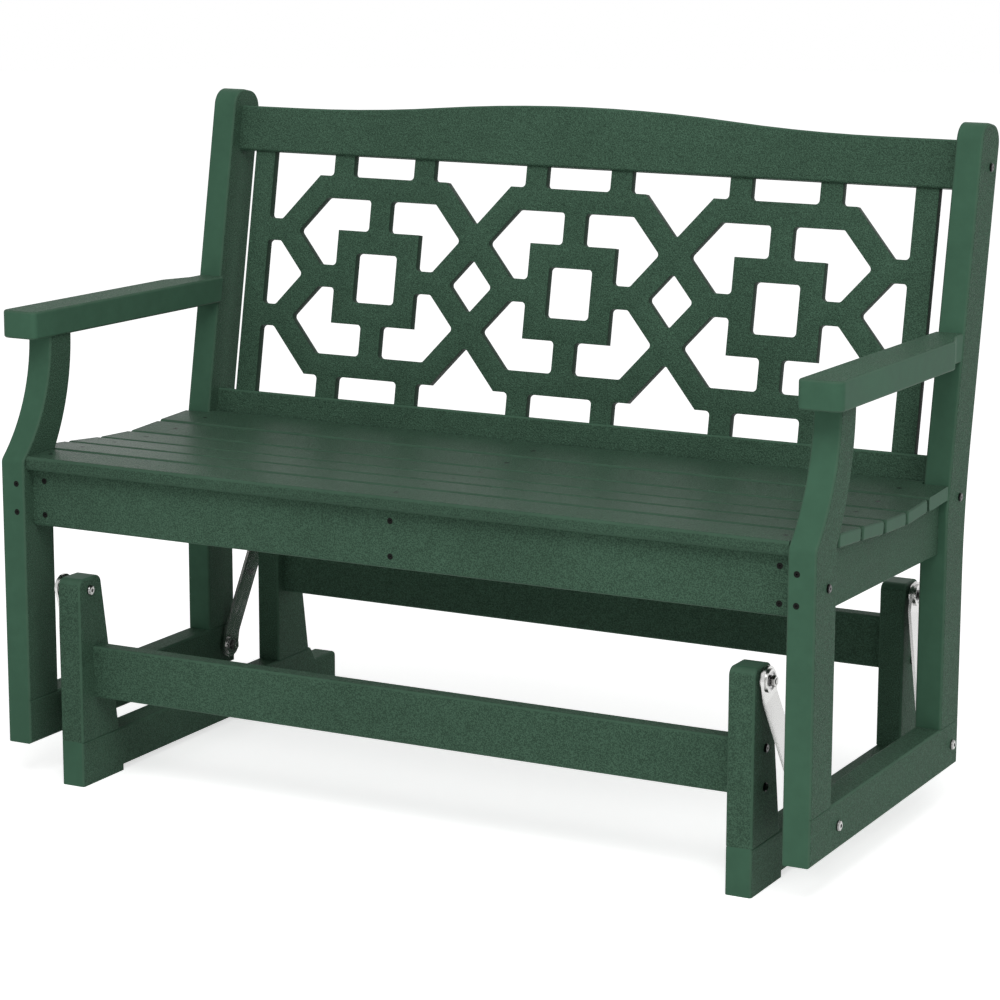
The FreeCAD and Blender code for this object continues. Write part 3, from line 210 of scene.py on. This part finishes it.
class MetalSettings(bpy.types.PropertyGroup):
    """Colours of the links and fasteners."""

    link_colour: FloatVectorProperty(
        name="Link colour",
        description="Colour of the brushed links",
        subtype="COLOR", size=3, min=0, max=1,
        default=(0.62, 0.62, 0.61),
    )
    bright_colour: FloatVectorProperty(
        name="Bright steel colour",
        description="Colour of the pivots' bolts, nuts and washers",
        subtype="COLOR", size=3, min=0, max=1,
        default=(0.5, 0.5, 0.49),
    )
    head_colour: FloatVectorProperty(
        name="Screw head colour",
        description="Colour of the screws in the sides of the legs, posts and runners",
        subtype="COLOR", size=3, min=0, max=1,
        default=(0.055, 0.055, 0.055),
    )
    bearing_colour: FloatVectorProperty(
        name="Bearing colour",
        description="Colour of the ground bearing rings",
        subtype="COLOR", size=3, min=0, max=1,
        default=(0.5, 0.5, 0.5),
    )
    dark_colour: FloatVectorProperty(
        name="Dark screw colour",
        description="Colour of the coated screws in the slats and aprons",
        subtype="COLOR", size=3, min=0, max=1,
        default=(0.004, 0.005, 0.004),
    )
    brush_spacing: FloatProperty(
        name="Brush line spacing",
        description="Distance from one brushed line to the next",
        subtype="DISTANCE", unit="LENGTH",
        default=0.0004, min=0.0001, max=0.005,
    )


class StudioSettings(bpy.types.PropertyGroup):
    """Camera, lamps and floor."""

    camera_azimuth: FloatProperty(
        name="Camera azimuth",
        description="Angle of the camera round the bench, from straight ahead towards the right",
        subtype="ANGLE", default=math.radians(27.74),
    )
    camera_elevation: FloatProperty(
        name="Camera elevation",
        description="Angle of the camera above the level",
        subtype="ANGLE", default=math.radians(11.75),
    )
    camera_roll: FloatProperty(
        name="Camera roll",
        description="Turn of the camera about its own line of sight",
        subtype="ANGLE", default=math.radians(0.15),
    )
    camera_distance: FloatProperty(
        name="Camera distance",
        description="From the camera to the point that it looks at",
        subtype="DISTANCE", unit="LENGTH", default=4.4254, min=1, max=30,
    )
    camera_target: FloatVectorProperty(
        name="Camera target",
        description="The point that the camera looks at",
        subtype="TRANSLATION", unit="LENGTH", size=3,
        default=(0.0220, -0.0624, 0.4129),
    )
    camera_lens: FloatProperty(
        name="Camera lens",
        description="Focal length on a sensor 36 mm wide",
        unit="CAMERA", default=115.2, min=20, max=300,
    )
    overhead_power: FloatProperty(
        name="Overhead lamp",
        description="Power of the wide lamp overhead",
        unit="POWER", default=2, min=0, max=500,
    )
    front_power: FloatProperty(
        name="Front lamp",
        description="Power of the wide lamp in front",
        unit="POWER", default=64, min=0, max=500,
    )
    side_power: FloatProperty(
        name="Side lamp",
        description="Power of the wide lamp on the right",
        unit="POWER", default=22, min=0, max=500,
    )
    low_power: FloatProperty(
        name="Low lamp",
        description="Power of the low lamp in front that reaches under the seat",
        unit="POWER", default=8, min=0, max=500,
    )
    sky_strength: FloatProperty(
        name="Surroundings",
        description="Strength of the light from all round",
        default=0.45, min=0, max=2,
    )
    floor_colour: FloatVectorProperty(
        name="Floor colour",
        description="Colour of the floor",
        subtype="COLOR", size=3, min=0, max=1,
        default=(0.95, 0.95, 0.95),
    )
    floor_lift: FloatProperty(
        name="Floor lift",
        description="White added where the floor is seen, so that it meets the white behind it",
        subtype="FACTOR", default=0.645, min=0, max=1,
    )


# Shader helpers


def add_node(tree, kind, **settings):
    """A new shader node with its properties set by name."""
    node = tree.nodes.new(kind)
    for name, value in settings.items():
        setattr(node, name, value)
    return node


def feed(tree, socket, source):
    """Gives a socket a link or a plain value."""
    if isinstance(source, bpy.types.NodeSocket):
        tree.links.new(source, socket)
    else:
        socket.default_value = source


def calculate(tree, operation, *sources):
    """The result of one sum on numbers."""
    node = add_node(tree, "ShaderNodeMath", operation=operation)
    for socket, source in zip(node.inputs, sources):
        feed(tree, socket, source)
    return node.outputs["Value"]


def calculate_vector(tree, operation, first, second=None, scale=None):
    """The result of one sum on vectors."""
    node = add_node(tree, "ShaderNodeVectorMath", operation=operation)
    feed(tree, node.inputs[0], first)
    if second is not None:
        feed(tree, node.inputs[1], second)
    if scale is not None:
        feed(tree, node.inputs["Scale"], scale)
    return node.outputs["Value" if operation == "DOT_PRODUCT" else "Vector"]


def spread(tree, source, low, high, to_low=0.0, to_high=1.0):
    """A smooth step from one range of numbers to another."""
    node = add_node(tree, "ShaderNodeMapRange", interpolation_type="SMOOTHSTEP")
    feed(tree, node.inputs["Value"], source)
    limits = {"From Min": low, "From Max": high, "To Min": to_low, "To Max": to_high}
    for name, value in limits.items():
        feed(tree, node.inputs[name], value)
    return node.outputs["Result"]


def blend_numbers(tree, share, first, second):
    """Two numbers mixed by a share."""
    node = add_node(tree, "ShaderNodeMix", data_type="FLOAT")
    for number, source in ((0, share), (2, first), (3, second)):
        feed(tree, node.inputs[number], source)
    return node.outputs[0]


def blend_colours(tree, share, first, second):
    """Two colours mixed by a share."""
    node = add_node(tree, "ShaderNodeMix", data_type="RGBA")
    for number, source in ((0, share), (6, first), (7, second)):
        feed(tree, node.inputs[number], source)
    return node.outputs[2]


def opaque(colour):
    """A colour with the fourth number that a socket takes."""
    return (*colour, 1.0)


def noise(tree, place, scale, detail=2.0, roughness=0.5):
    """A soft cloud of numbers, mostly within NOISE_EDGE."""
    node = add_node(tree, "ShaderNodeTexNoise")
    feed(tree, node.inputs["Vector"], place)
    for name, value in {"Scale": scale, "Detail": detail, "Roughness": roughness}.items():
        feed(tree, node.inputs[name], value)
    return node.outputs["Fac"]


def new_group(name, takes, gives):
    """A shader node group with named sockets. takes and gives hold pairs of a name and a kind."""
    group = bpy.data.node_groups.new(name, "ShaderNodeTree")
    for word, kind in takes:
        group.interface.new_socket(name=word, in_out="INPUT", socket_type="NodeSocket" + kind)
    for word, kind in gives:
        group.interface.new_socket(name=word, in_out="OUTPUT", socket_type="NodeSocket" + kind)
    return group, add_node(group, "NodeGroupInput").outputs, add_node(group, "NodeGroupOutput").inputs


def use_group(tree, name, **sources):
    """Places a node group in a material and gives its sockets their values."""
    node = add_node(tree, "ShaderNodeGroup")
    node.node_tree = bpy.data.node_groups[name]
    for word, source in sources.items():
        feed(tree, node.inputs[word.replace("_", " ")], source)
    return node.outputs


def new_material(name):
    """A material with its tree, its main shader and the piece's own coordinates."""
    material = bpy.data.materials.new(name)
    material.use_nodes = True
    tree = material.node_tree
    return material, tree, tree.nodes["Principled BSDF"], add_node(tree, "ShaderNodeTexCoord").outputs


# Effects that several finishes share


def make_broad_face_group():
    """Marks the faces that look along one axis, and the arrises round them."""
    tree, given, out = new_group(
        "Broad faces", [("Normal", "Vector"), ("Axis", "Vector")],
        [("Mask", "Float"), ("Arris", "Float")],
    )
    cosine = calculate_vector(tree, "DOT_PRODUCT", given["Normal"], given["Axis"])
    along = calculate(tree, "ABSOLUTE", cosine)
    mask = spread(tree, along, *FACE_EDGE)
    feed(tree, out["Mask"], mask)
    feed(tree, out["Arris"], calculate(tree, "SUBTRACT", spread(tree, along, *ARRIS_EDGE), mask))


def make_pebble_group():
    """The pebbled skin that a textured roller leaves on the wide faces."""
    tree, given, out = new_group(
        "Pebbled skin", [("Place", "Vector"), ("Grain", "Float")],
        [("Height", "Float"), ("Fleck", "Float")],
    )
    grains = calculate(tree, "DIVIDE", 1.0, given["Grain"])
    place = calculate_vector(tree, "SCALE", given["Place"], scale=grains)
    cells = add_node(tree, "ShaderNodeTexVoronoi", feature="SMOOTH_F1")
    feed(tree, cells.inputs["Vector"], place)
    feed(tree, cells.inputs["Scale"], 1.0)
    feed(tree, cells.inputs["Smoothness"], 0.6)
    pebbles = spread(tree, cells.outputs["Distance"], *PEBBLE_EDGE, 1.0, 0.0)
    worn = noise(tree, place, 0.35, 3.0)
    height = calculate(tree, "MULTIPLY", pebbles, spread(tree, worn, 0.2, 0.6, 0.4, 1.0))
    grit = calculate(tree, "MULTIPLY", noise(tree, place, 2.1), 0.3)
    feed(tree, out["Height"], calculate(tree, "ADD", height, grit))
    feed(tree, out["Fleck"], spread(tree, noise(tree, place, FLECK_SCALE, 2.0, 0.6), *FLECK_EDGE))


def make_saw_group():
    """Fine lines across a sawn edge, and the low waves that sanding leaves."""
    tree, given, out = new_group("Saw marks", [("Place", "Vector")], [("Height", "Float")])
    stretched = calculate_vector(tree, "MULTIPLY", given["Place"], (900.0, 900.0, 220.0))
    fine = noise(tree, stretched, 1.0, 2.0)
    low = noise(tree, given["Place"], 60.0, 2.0)
    feed(tree, out["Height"], blend_numbers(tree, 0.6, fine, low))


def make_mottle_group():
    """Slow drifts of colour through a board, broad and close."""
    tree, given, out = new_group("Mottle", [("Place", "Vector")], [("Shade", "Float")])
    broad = noise(tree, given["Place"], 5.0, 3.0)
    close = noise(tree, given["Place"], 45.0, 3.0, 0.6)
    feed(tree, out["Shade"], blend_numbers(tree, 0.4, broad, close))


def make_brushed_group():
    """Brushed lines along a bar that leans in its own plane."""
    tree, given, out = new_group(
        "Brushed lines", [("Place", "Vector"), ("Lean", "Float"), ("Spacing", "Float")],
        [("Height", "Float"), ("Streak", "Float")],
    )
    turn = add_node(tree, "ShaderNodeVectorRotate", rotation_type="X_AXIS")
    feed(tree, turn.inputs["Vector"], given["Place"])
    feed(tree, turn.inputs["Angle"], given["Lean"])
    per_metre = calculate(tree, "DIVIDE", 1.0, given["Spacing"])
    close = calculate_vector(tree, "SCALE", turn.outputs["Vector"], scale=per_metre)
    lines = noise(tree, calculate_vector(tree, "MULTIPLY", close, (1.0, 1.0, 0.02)), 1.0, 3.0, 0.6)
    feed(tree, out["Height"], lines)
    patches = noise(tree, calculate_vector(tree, "MULTIPLY", close, (0.05, 0.05, 0.01)), 1.0, 2.0)
    feed(tree, out["Streak"], blend_numbers(tree, 0.5, lines, patches))


def make_effects():
    """All the groups, in the order in which the finishes find them."""
    make_broad_face_group()
    make_pebble_group()
    make_saw_group()
    make_mottle_group()
    make_brushed_group()


# Finishes


def make_board_finish(kind):
    """Green board: pebbled on the faces that look its ways, smooth and greener where it is cut, with a
    painted highlight on its arrises; the fretwork's cut walls take painted shade instead.
    """
    boards = bpy.context.scene.bench_boards
    material, tree, shader, own = new_material("Green board " + kind)
    marks = [
        use_group(tree, "Broad faces", Normal=own["Normal"], Axis=AXES[facing]) for facing in SKINS[kind]
    ]
    mask, arris = marks[0]["Mask"], marks[0]["Arris"]
    for other in marks[1:]:
        mask = calculate(tree, "MAXIMUM", mask, other["Mask"])
        arris = calculate(tree, "MAXIMUM", arris, other["Arris"])
    skin = use_group(tree, "Pebbled skin", Place=own["Object"], Grain=boards.grain_size)
    saw = use_group(tree, "Saw marks", Place=own["Object"])
    shade = use_group(tree, "Mottle", Place=own["Object"])["Shade"]
    # The slats' colour is darkened, which is painted shade
    face = Vector(boards.face_colour) * (boards.painted_slat_shade if kind == "slat" else 1)
    # On the fretwork the cut walls take painted shade in place of the cut colour
    cut = Vector(boards.painted_wall_shade if kind == "fretwork" else boards.cut_colour)
    # The flecks mix the plastic's own tone with painted glints on the pebbles
    darker, lighter = opaque(face * (1 - boards.fleck_and_glint)), opaque(face * (1 + boards.fleck_and_glint))
    flecked = blend_colours(tree, skin["Fleck"], darker, lighter)
    colour = blend_colours(tree, mask, opaque(cut), flecked)
    # Painted highlight: the arrises take a lighter colour than the faces
    colour = blend_colours(tree, arris, colour, opaque(face * (1 + boards.painted_arris_highlight)))
    drift = spread(tree, shade, *NOISE_EDGE, *COLOUR_DRIFT)
    feed(tree, shader.inputs["Base Color"], calculate_vector(tree, "SCALE", colour, scale=drift))
    face_roughness = boards.slat_roughness if kind == "slat" else boards.face_roughness
    rough = blend_numbers(tree, mask, boards.cut_roughness, face_roughness)
    uneven = calculate(tree, "ADD", rough, spread(tree, shade, *NOISE_EDGE, *ROUGHNESS_DRIFT))
    feed(tree, shader.inputs["Roughness"], uneven)
    sheen = boards.slat_sheen if kind == "slat" else boards.sheen
    shader.inputs["Specular IOR Level"].default_value = sheen
    bump = add_node(tree, "ShaderNodeBump")
    bump.inputs["Strength"].default_value = 1.0
    bump.inputs["Distance"].default_value = boards.grain_height
    sawn = calculate(tree, "MULTIPLY", saw["Height"], SAW_HEIGHT)
    feed(tree, bump.inputs["Height"], blend_numbers(tree, mask, sawn, skin["Height"]))
    feed(tree, shader.inputs["Normal"], bump.outputs["Normal"])
    return material


def make_metal_finish(name, colour, roughness, speck=0.08, scale=900.0):
    """Plain metal with a fine uneven polish, and painted shade round the rims of its heads."""
    material, tree, shader, own = new_material(name)
    shader.inputs["Metallic"].default_value = 1.0
    cloud = noise(tree, own["Object"], scale, 3.0)
    flat = use_group(tree, "Broad faces", Normal=own["Normal"], Axis=AXES["sideways"])["Mask"]
    colour = Vector(colour)
    polish = blend_colours(tree, cloud, opaque(colour * POLISH_SHADE), opaque(colour))
    # Painted shade: every face that doesn't look sideways, such as the rims of heads, is darkened
    feed(tree, shader.inputs["Base Color"], blend_colours(tree, flat, opaque(colour * PAINTED_RIM_SHADE), polish))
    uneven = spread(tree, cloud, *NOISE_EDGE, roughness - speck, roughness + speck)
    feed(tree, shader.inputs["Roughness"], uneven)
    bump = add_node(tree, "ShaderNodeBump")
    bump.inputs["Distance"].default_value = POLISH_HEIGHT
    feed(tree, bump.inputs["Height"], cloud)
    feed(tree, shader.inputs["Normal"], bump.outputs["Normal"])
    return material


def make_link_finish(name, lean):
    """Stainless bar brushed along its length."""
    metal = bpy.context.scene.bench_metal
    material, tree, shader, own = new_material(name)
    shader.inputs["Metallic"].default_value = 1.0
    brushed = use_group(
        tree, "Brushed lines", Place=own["Object"], Lean=lean, Spacing=metal.brush_spacing
    )
    colour = Vector(metal.link_colour)
    streaked = blend_colours(tree, brushed["Streak"], opaque(colour * STREAK_SHADE), opaque(colour))
    feed(tree, shader.inputs["Base Color"], streaked)
    uneven = spread(tree, brushed["Streak"], *NOISE_EDGE, *LINK_ROUGHNESS)
    feed(tree, shader.inputs["Roughness"], uneven)
    bump = add_node(tree, "ShaderNodeBump")
    bump.inputs["Distance"].default_value = BRUSH_HEIGHT
    feed(tree, bump.inputs["Height"], brushed["Height"])
    feed(tree, shader.inputs["Normal"], bump.outputs["Normal"])
    return material


def make_coated_finish(name, colour):
    """Dark coating on a screw: satin, with small worn specks."""
    material, tree, shader, own = new_material(name)
    specks = spread(tree, noise(tree, own["Object"], SPECK_SCALE, 3.0), *SPECK_EDGE)
    colour = Vector(colour)
    speckled = blend_colours(tree, specks, opaque(colour), opaque(colour * SPECK_LIGHT))
    feed(tree, shader.inputs["Base Color"], speckled)
    feed(tree, shader.inputs["Roughness"], spread(tree, specks, 0.0, 1.0, *COATING_ROUGHNESS))
    shader.inputs["Specular IOR Level"].default_value = COATING_SHEEN
    return material


def finish(material_for, *starts):
    """Gives each CAD node whose name starts with one of these words its material."""
    found = [name for name in sorted(NODES) if name.startswith(starts)]
    if not found:
        raise RuntimeError(f"no node starts with {starts}")
    for name in found:
        mesh = NODES[name].data
        for number in range(len(mesh.materials)):
            mesh.materials[number] = material_for


def finish_named(name, *starts):
    """The same with a material that is there already."""
    return finish(bpy.data.materials[name], *starts)


# Fretwork


def make_soft_fretwork():
    """The fretwork panel with its rims rounded over, on the outline that the panel has in the frame."""
    panel = NODES["lattice_panel"]
    work = bmesh.new()
    work.from_mesh(panel.data)
    bmesh.ops.remove_doubles(work, verts=work.verts, dist=1e-6)
    bmesh.ops.dissolve_limit(
        work, angle_limit=math.radians(0.5), use_dissolve_boundaries=False,
        verts=work.verts, edges=work.edges, delimit=set(),
    )
    rims = [
        edge for edge in work.edges
        if len(edge.link_faces) == 2 and edge.calc_face_angle() > RIM_ANGLE
    ]
    bmesh.ops.bevel(
        work, geom=rims, offset=bpy.context.scene.bench_boards.rim_radius, offset_type="OFFSET",
        segments=3, profile=0.5, affect="EDGES", material=-1, clamp_overlap=True, loop_slide=True,
    )
    mesh = bpy.data.meshes.new("fretwork")
    bmesh.ops.triangulate(work, faces=work.faces)
    work.to_mesh(mesh)
    work.free()
    mesh.materials.append(bpy.data.materials["Green board fretwork"])
    mesh.shade_smooth()
    mesh.set_sharp_from_angle(angle=SHARP_ANGLE)
    piece = bpy.data.objects.new("fretwork", mesh)
    bpy.context.scene.collection.objects.link(piece)
    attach(piece, "seat")
    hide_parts("lattice_panel")


# Studio


def make_floor():
    """A wide round floor that keeps the bench's shadow and meets the white behind it."""
    studio = bpy.context.scene.bench_studio
    work = bmesh.new()
    bmesh.ops.create_circle(work, cap_ends=True, segments=96, radius=FLOOR_RADIUS)
    mesh = bpy.data.meshes.new("floor")
    work.to_mesh(mesh)
    work.free()
    material = bpy.data.materials.new("Studio floor")
    material.use_nodes = True
    tree = material.node_tree
    tree.nodes.clear()
    matte = add_node(tree, "ShaderNodeBsdfDiffuse")
    matte.inputs["Color"].default_value = opaque(studio.floor_colour)
    glow = add_node(tree, "ShaderNodeEmission")
    lift = calculate(tree, "MULTIPLY", seen_directly(tree), studio.floor_lift)
    feed(tree, glow.inputs["Strength"], lift)
    both = add_node(tree, "ShaderNodeAddShader")
    feed(tree, both.inputs[0], matte.outputs[0])
    feed(tree, both.inputs[1], glow.outputs[0])
    feed(tree, add_node(tree, "ShaderNodeOutputMaterial").inputs["Surface"], both.outputs[0])
    mesh.materials.append(material)
    floor = bpy.data.objects.new("floor", mesh)
    bpy.context.scene.collection.objects.link(floor)


def seen_directly(tree):
    """One where the camera, a reflection or clear glass looks, and nothing for light on the bench."""
    path = add_node(tree, "ShaderNodeLightPath").outputs
    share = calculate(tree, "MAXIMUM", path["Is Camera Ray"], path["Is Glossy Ray"])
    return calculate(tree, "MAXIMUM", share, path["Is Transmission Ray"])


def make_surroundings():
    """White all round: plain white to the eye, and softer as light on the bench."""
    studio = bpy.context.scene.bench_studio
    world = bpy.data.worlds.new("White studio")
    world.use_nodes = True
    tree = world.node_tree
    back = tree.nodes["Background"]
    back.inputs["Color"].default_value = (1, 1, 1, 1)
    strength = blend_numbers(tree, seen_directly(tree), studio.sky_strength, 1.0)
    feed(tree, back.inputs["Strength"], strength)
    bpy.context.scene.world = world


def make_lamp(name, power, size, place, aim):
    """A wide soft lamp that looks at a point of the bench."""
    light = bpy.data.lights.new(name, "AREA")
    light.shape = "RECTANGLE"
    light.size, light.size_y = size
    light.energy = power
    lamp = bpy.data.objects.new(name, light)
    lamp.location = place
    lamp.rotation_euler = (Vector(aim) - Vector(place)).to_track_quat("-Z", "Y").to_euler()
    bpy.context.scene.collection.objects.link(lamp)


def make_camera():
    """The camera at its angles and distance from the point that it looks at."""
    studio = bpy.context.scene.bench_studio
    azimuth, elevation = studio.camera_azimuth, studio.camera_elevation
    back = Vector((
        math.sin(azimuth) * math.cos(elevation),
        -math.cos(azimuth) * math.cos(elevation),
        math.sin(elevation),
    ))
    lens = bpy.data.cameras.new("camera")
    lens.lens = studio.camera_lens
    lens.sensor_width = 36
    lens.clip_end = 100
    camera = bpy.data.objects.new("camera", lens)
    look = (-back).to_track_quat("-Z", "Y").to_matrix().to_4x4()
    place = Matrix.Translation(Vector(studio.camera_target) + back * studio.camera_distance)
    camera.matrix_world = place @ look @ Matrix.Rotation(studio.camera_roll, 4, "Z")
    bpy.context.scene.collection.objects.link(camera)
    bpy.context.scene.camera = camera


# Operators


class BENCH_OT_frame_boards(bpy.types.Operator):
    """Finish the legs, posts, side rails, supports, seat runners and aprons"""

    bl_idname = "bench.frame_boards"
    bl_label = "Frame boards"

    def execute(self, context):
        finish_named("Green board sideways", "front_leg", "rear_post", "side_rail", "seat_support")
        finish_named("Green board runner", "seat_runner")
        finish_named("Green board forwards", "front_apron", "rear_apron")
        return {"FINISHED"}


class BENCH_OT_arms(bpy.types.Operator):
    """Finish the two armrests"""

    bl_idname = "bench.arms"
    bl_label = "Armrests"

    def execute(self, context):
        finish_named("Green board upwards", "armrest")
        return {"FINISHED"}


class BENCH_OT_slats(bpy.types.Operator):
    """Finish the six seat slats"""

    bl_idname = "bench.slats"
    bl_label = "Seat slats"

    def execute(self, context):
        finish_named("Green board slat", "seat_slat")
        return {"FINISHED"}


class BENCH_OT_back_rails(bpy.types.Operator):
    """Finish the crest rail and the low back rail"""

    bl_idname = "bench.back_rails"
    bl_label = "Back rails"

    def execute(self, context):
        finish_named("Green board forwards", "crest_rail", "low_back_rail")
        return {"FINISHED"}


class BENCH_OT_fretwork(bpy.types.Operator):
    """Make the fretwork panel with rounded rims"""

    bl_idname = "bench.fretwork"
    bl_label = "Fretwork"

    def execute(self, context):
        finish_named("Green board fretwork", "lattice_panel")
        make_soft_fretwork()
        return {"FINISHED"}


class BENCH_OT_base_boards(bpy.types.Operator):
    """Finish the runners, uprights and stretchers of the standing base"""

    bl_idname = "bench.base_boards"
    bl_label = "Base boards"

    def execute(self, context):
        finish_named("Green board runner", "base_runner")
        finish_named("Green board upright", "base_upright")
        finish_named("Green board stretcher", "front_stretcher", "rear_stretcher")
        return {"FINISHED"}


class BENCH_OT_links(bpy.types.Operator):
    """Finish the four swinging links and their bearings"""

    bl_idname = "bench.links"
    bl_label = "Links"

    def execute(self, context):
        metal = context.scene.bench_metal
        finish(make_link_finish("Front link steel", FRONT_LEAN), "link_strap_front")
        finish(make_link_finish("Rear link steel", REAR_LEAN), "link_strap_rear")
        finish(make_metal_finish("Bearing steel", metal.bearing_colour, BEARING_ROUGHNESS), "bearings")
        return {"FINISHED"}


class BENCH_OT_pivots(bpy.types.Operator):
    """Finish the pivot bolts, nuts and washers"""

    bl_idname = "bench.pivots"
    bl_label = "Pivot bolts"

    def execute(self, context):
        metal = context.scene.bench_metal
        bright = make_metal_finish("Bolt steel", metal.bright_colour, BOLT_ROUGHNESS)
        finish(bright, "lower_pivot", "upper_pivot")
        return {"FINISHED"}


class BENCH_OT_screws(bpy.types.Operator):
    """Finish the screws: dark in the slats and aprons, grey at the sides and base"""

    bl_idname = "bench.screws"
    bl_label = "Screws"

    def execute(self, context):
        metal = context.scene.bench_metal
        finish(make_coated_finish("Dark coating", metal.dark_colour), "slat_screws", "frame_screws")
        grey = make_metal_finish(
            "Screw steel", metal.head_colour, SCREW_ROUGHNESS, speck=0.04, scale=1500.0
        )
        finish(grey, "side_screws", "seat_lag_screws", "base_lag_screws", "stretcher_screws")
        return {"FINISHED"}


class BENCH_OT_dowels(bpy.types.Operator):
    """Finish the hidden dowels of the rails"""

    bl_idname = "bench.dowels"
    bl_label = "Dowels"

    def execute(self, context):
        boards = context.scene.bench_boards
        finish(make_coated_finish("Dowel plastic", boards.face_colour), "dowels")
        return {"FINISHED"}


class BENCH_OT_studio(bpy.types.Operator):
    """Make the floor, the surroundings, the lamps and the camera"""

    bl_idname = "bench.studio"
    bl_label = "Studio"

    def execute(self, context):
        studio = context.scene.bench_studio
        context.scene.view_settings.view_transform = "Standard"
        make_floor()
        make_surroundings()
        for name, (size, place, aim) in LAMPS.items():
            make_lamp(name + " lamp", getattr(studio, name + "_power"), size, place, aim)
        make_camera()
        return {"FINISHED"}


class BENCH_PT_panel(bpy.types.Panel):
    """The bench's settings and the buttons that make its pieces"""

    bl_idname = "BENCH_PT_panel"
    bl_label = "Glider bench"
    bl_space_type = "VIEW_3D"
    bl_region_type = "UI"
    bl_category = "Glider bench"

    def draw(self, context):
        for group in SETTINGS:
            settings = getattr(context.scene, group)
            box = self.layout.box()
            for name in type(settings).__annotations__:
                box.prop(settings, name)
        for operator in OPERATORS:
            self.layout.operator(operator.bl_idname)


SETTINGS = {"bench_boards": BoardSettings, "bench_metal": MetalSettings, "bench_studio": StudioSettings}
OPERATORS = (
    BENCH_OT_frame_boards,
    BENCH_OT_arms,
    BENCH_OT_slats,
    BENCH_OT_back_rails,
    BENCH_OT_fretwork,
    BENCH_OT_base_boards,
    BENCH_OT_links,
    BENCH_OT_pivots,
    BENCH_OT_screws,
    BENCH_OT_dowels,
    BENCH_OT_studio,
)


def register():
    """Makes the settings, the operators and the panel known."""
    for kind in (*SETTINGS.values(), *OPERATORS, BENCH_PT_panel):
        bpy.utils.register_class(kind)
    for name, kind in SETTINGS.items():
        setattr(bpy.types.Scene, name, PointerProperty(type=kind))


def unregister():
    """Takes them away again."""
    for name in SETTINGS:
        delattr(bpy.types.Scene, name)
    for kind in (BENCH_PT_panel, *reversed(OPERATORS), *SETTINGS.values()):
        bpy.utils.unregister_class(kind)


def main():
    """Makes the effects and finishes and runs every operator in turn."""
    register()
    make_effects()
    for kind in SKINS:
        make_board_finish(kind)
    for operator in OPERATORS:
        getattr(bpy.ops.bench, operator.bl_idname.split(".")[1])()


if __name__ == "__main__":
    main()
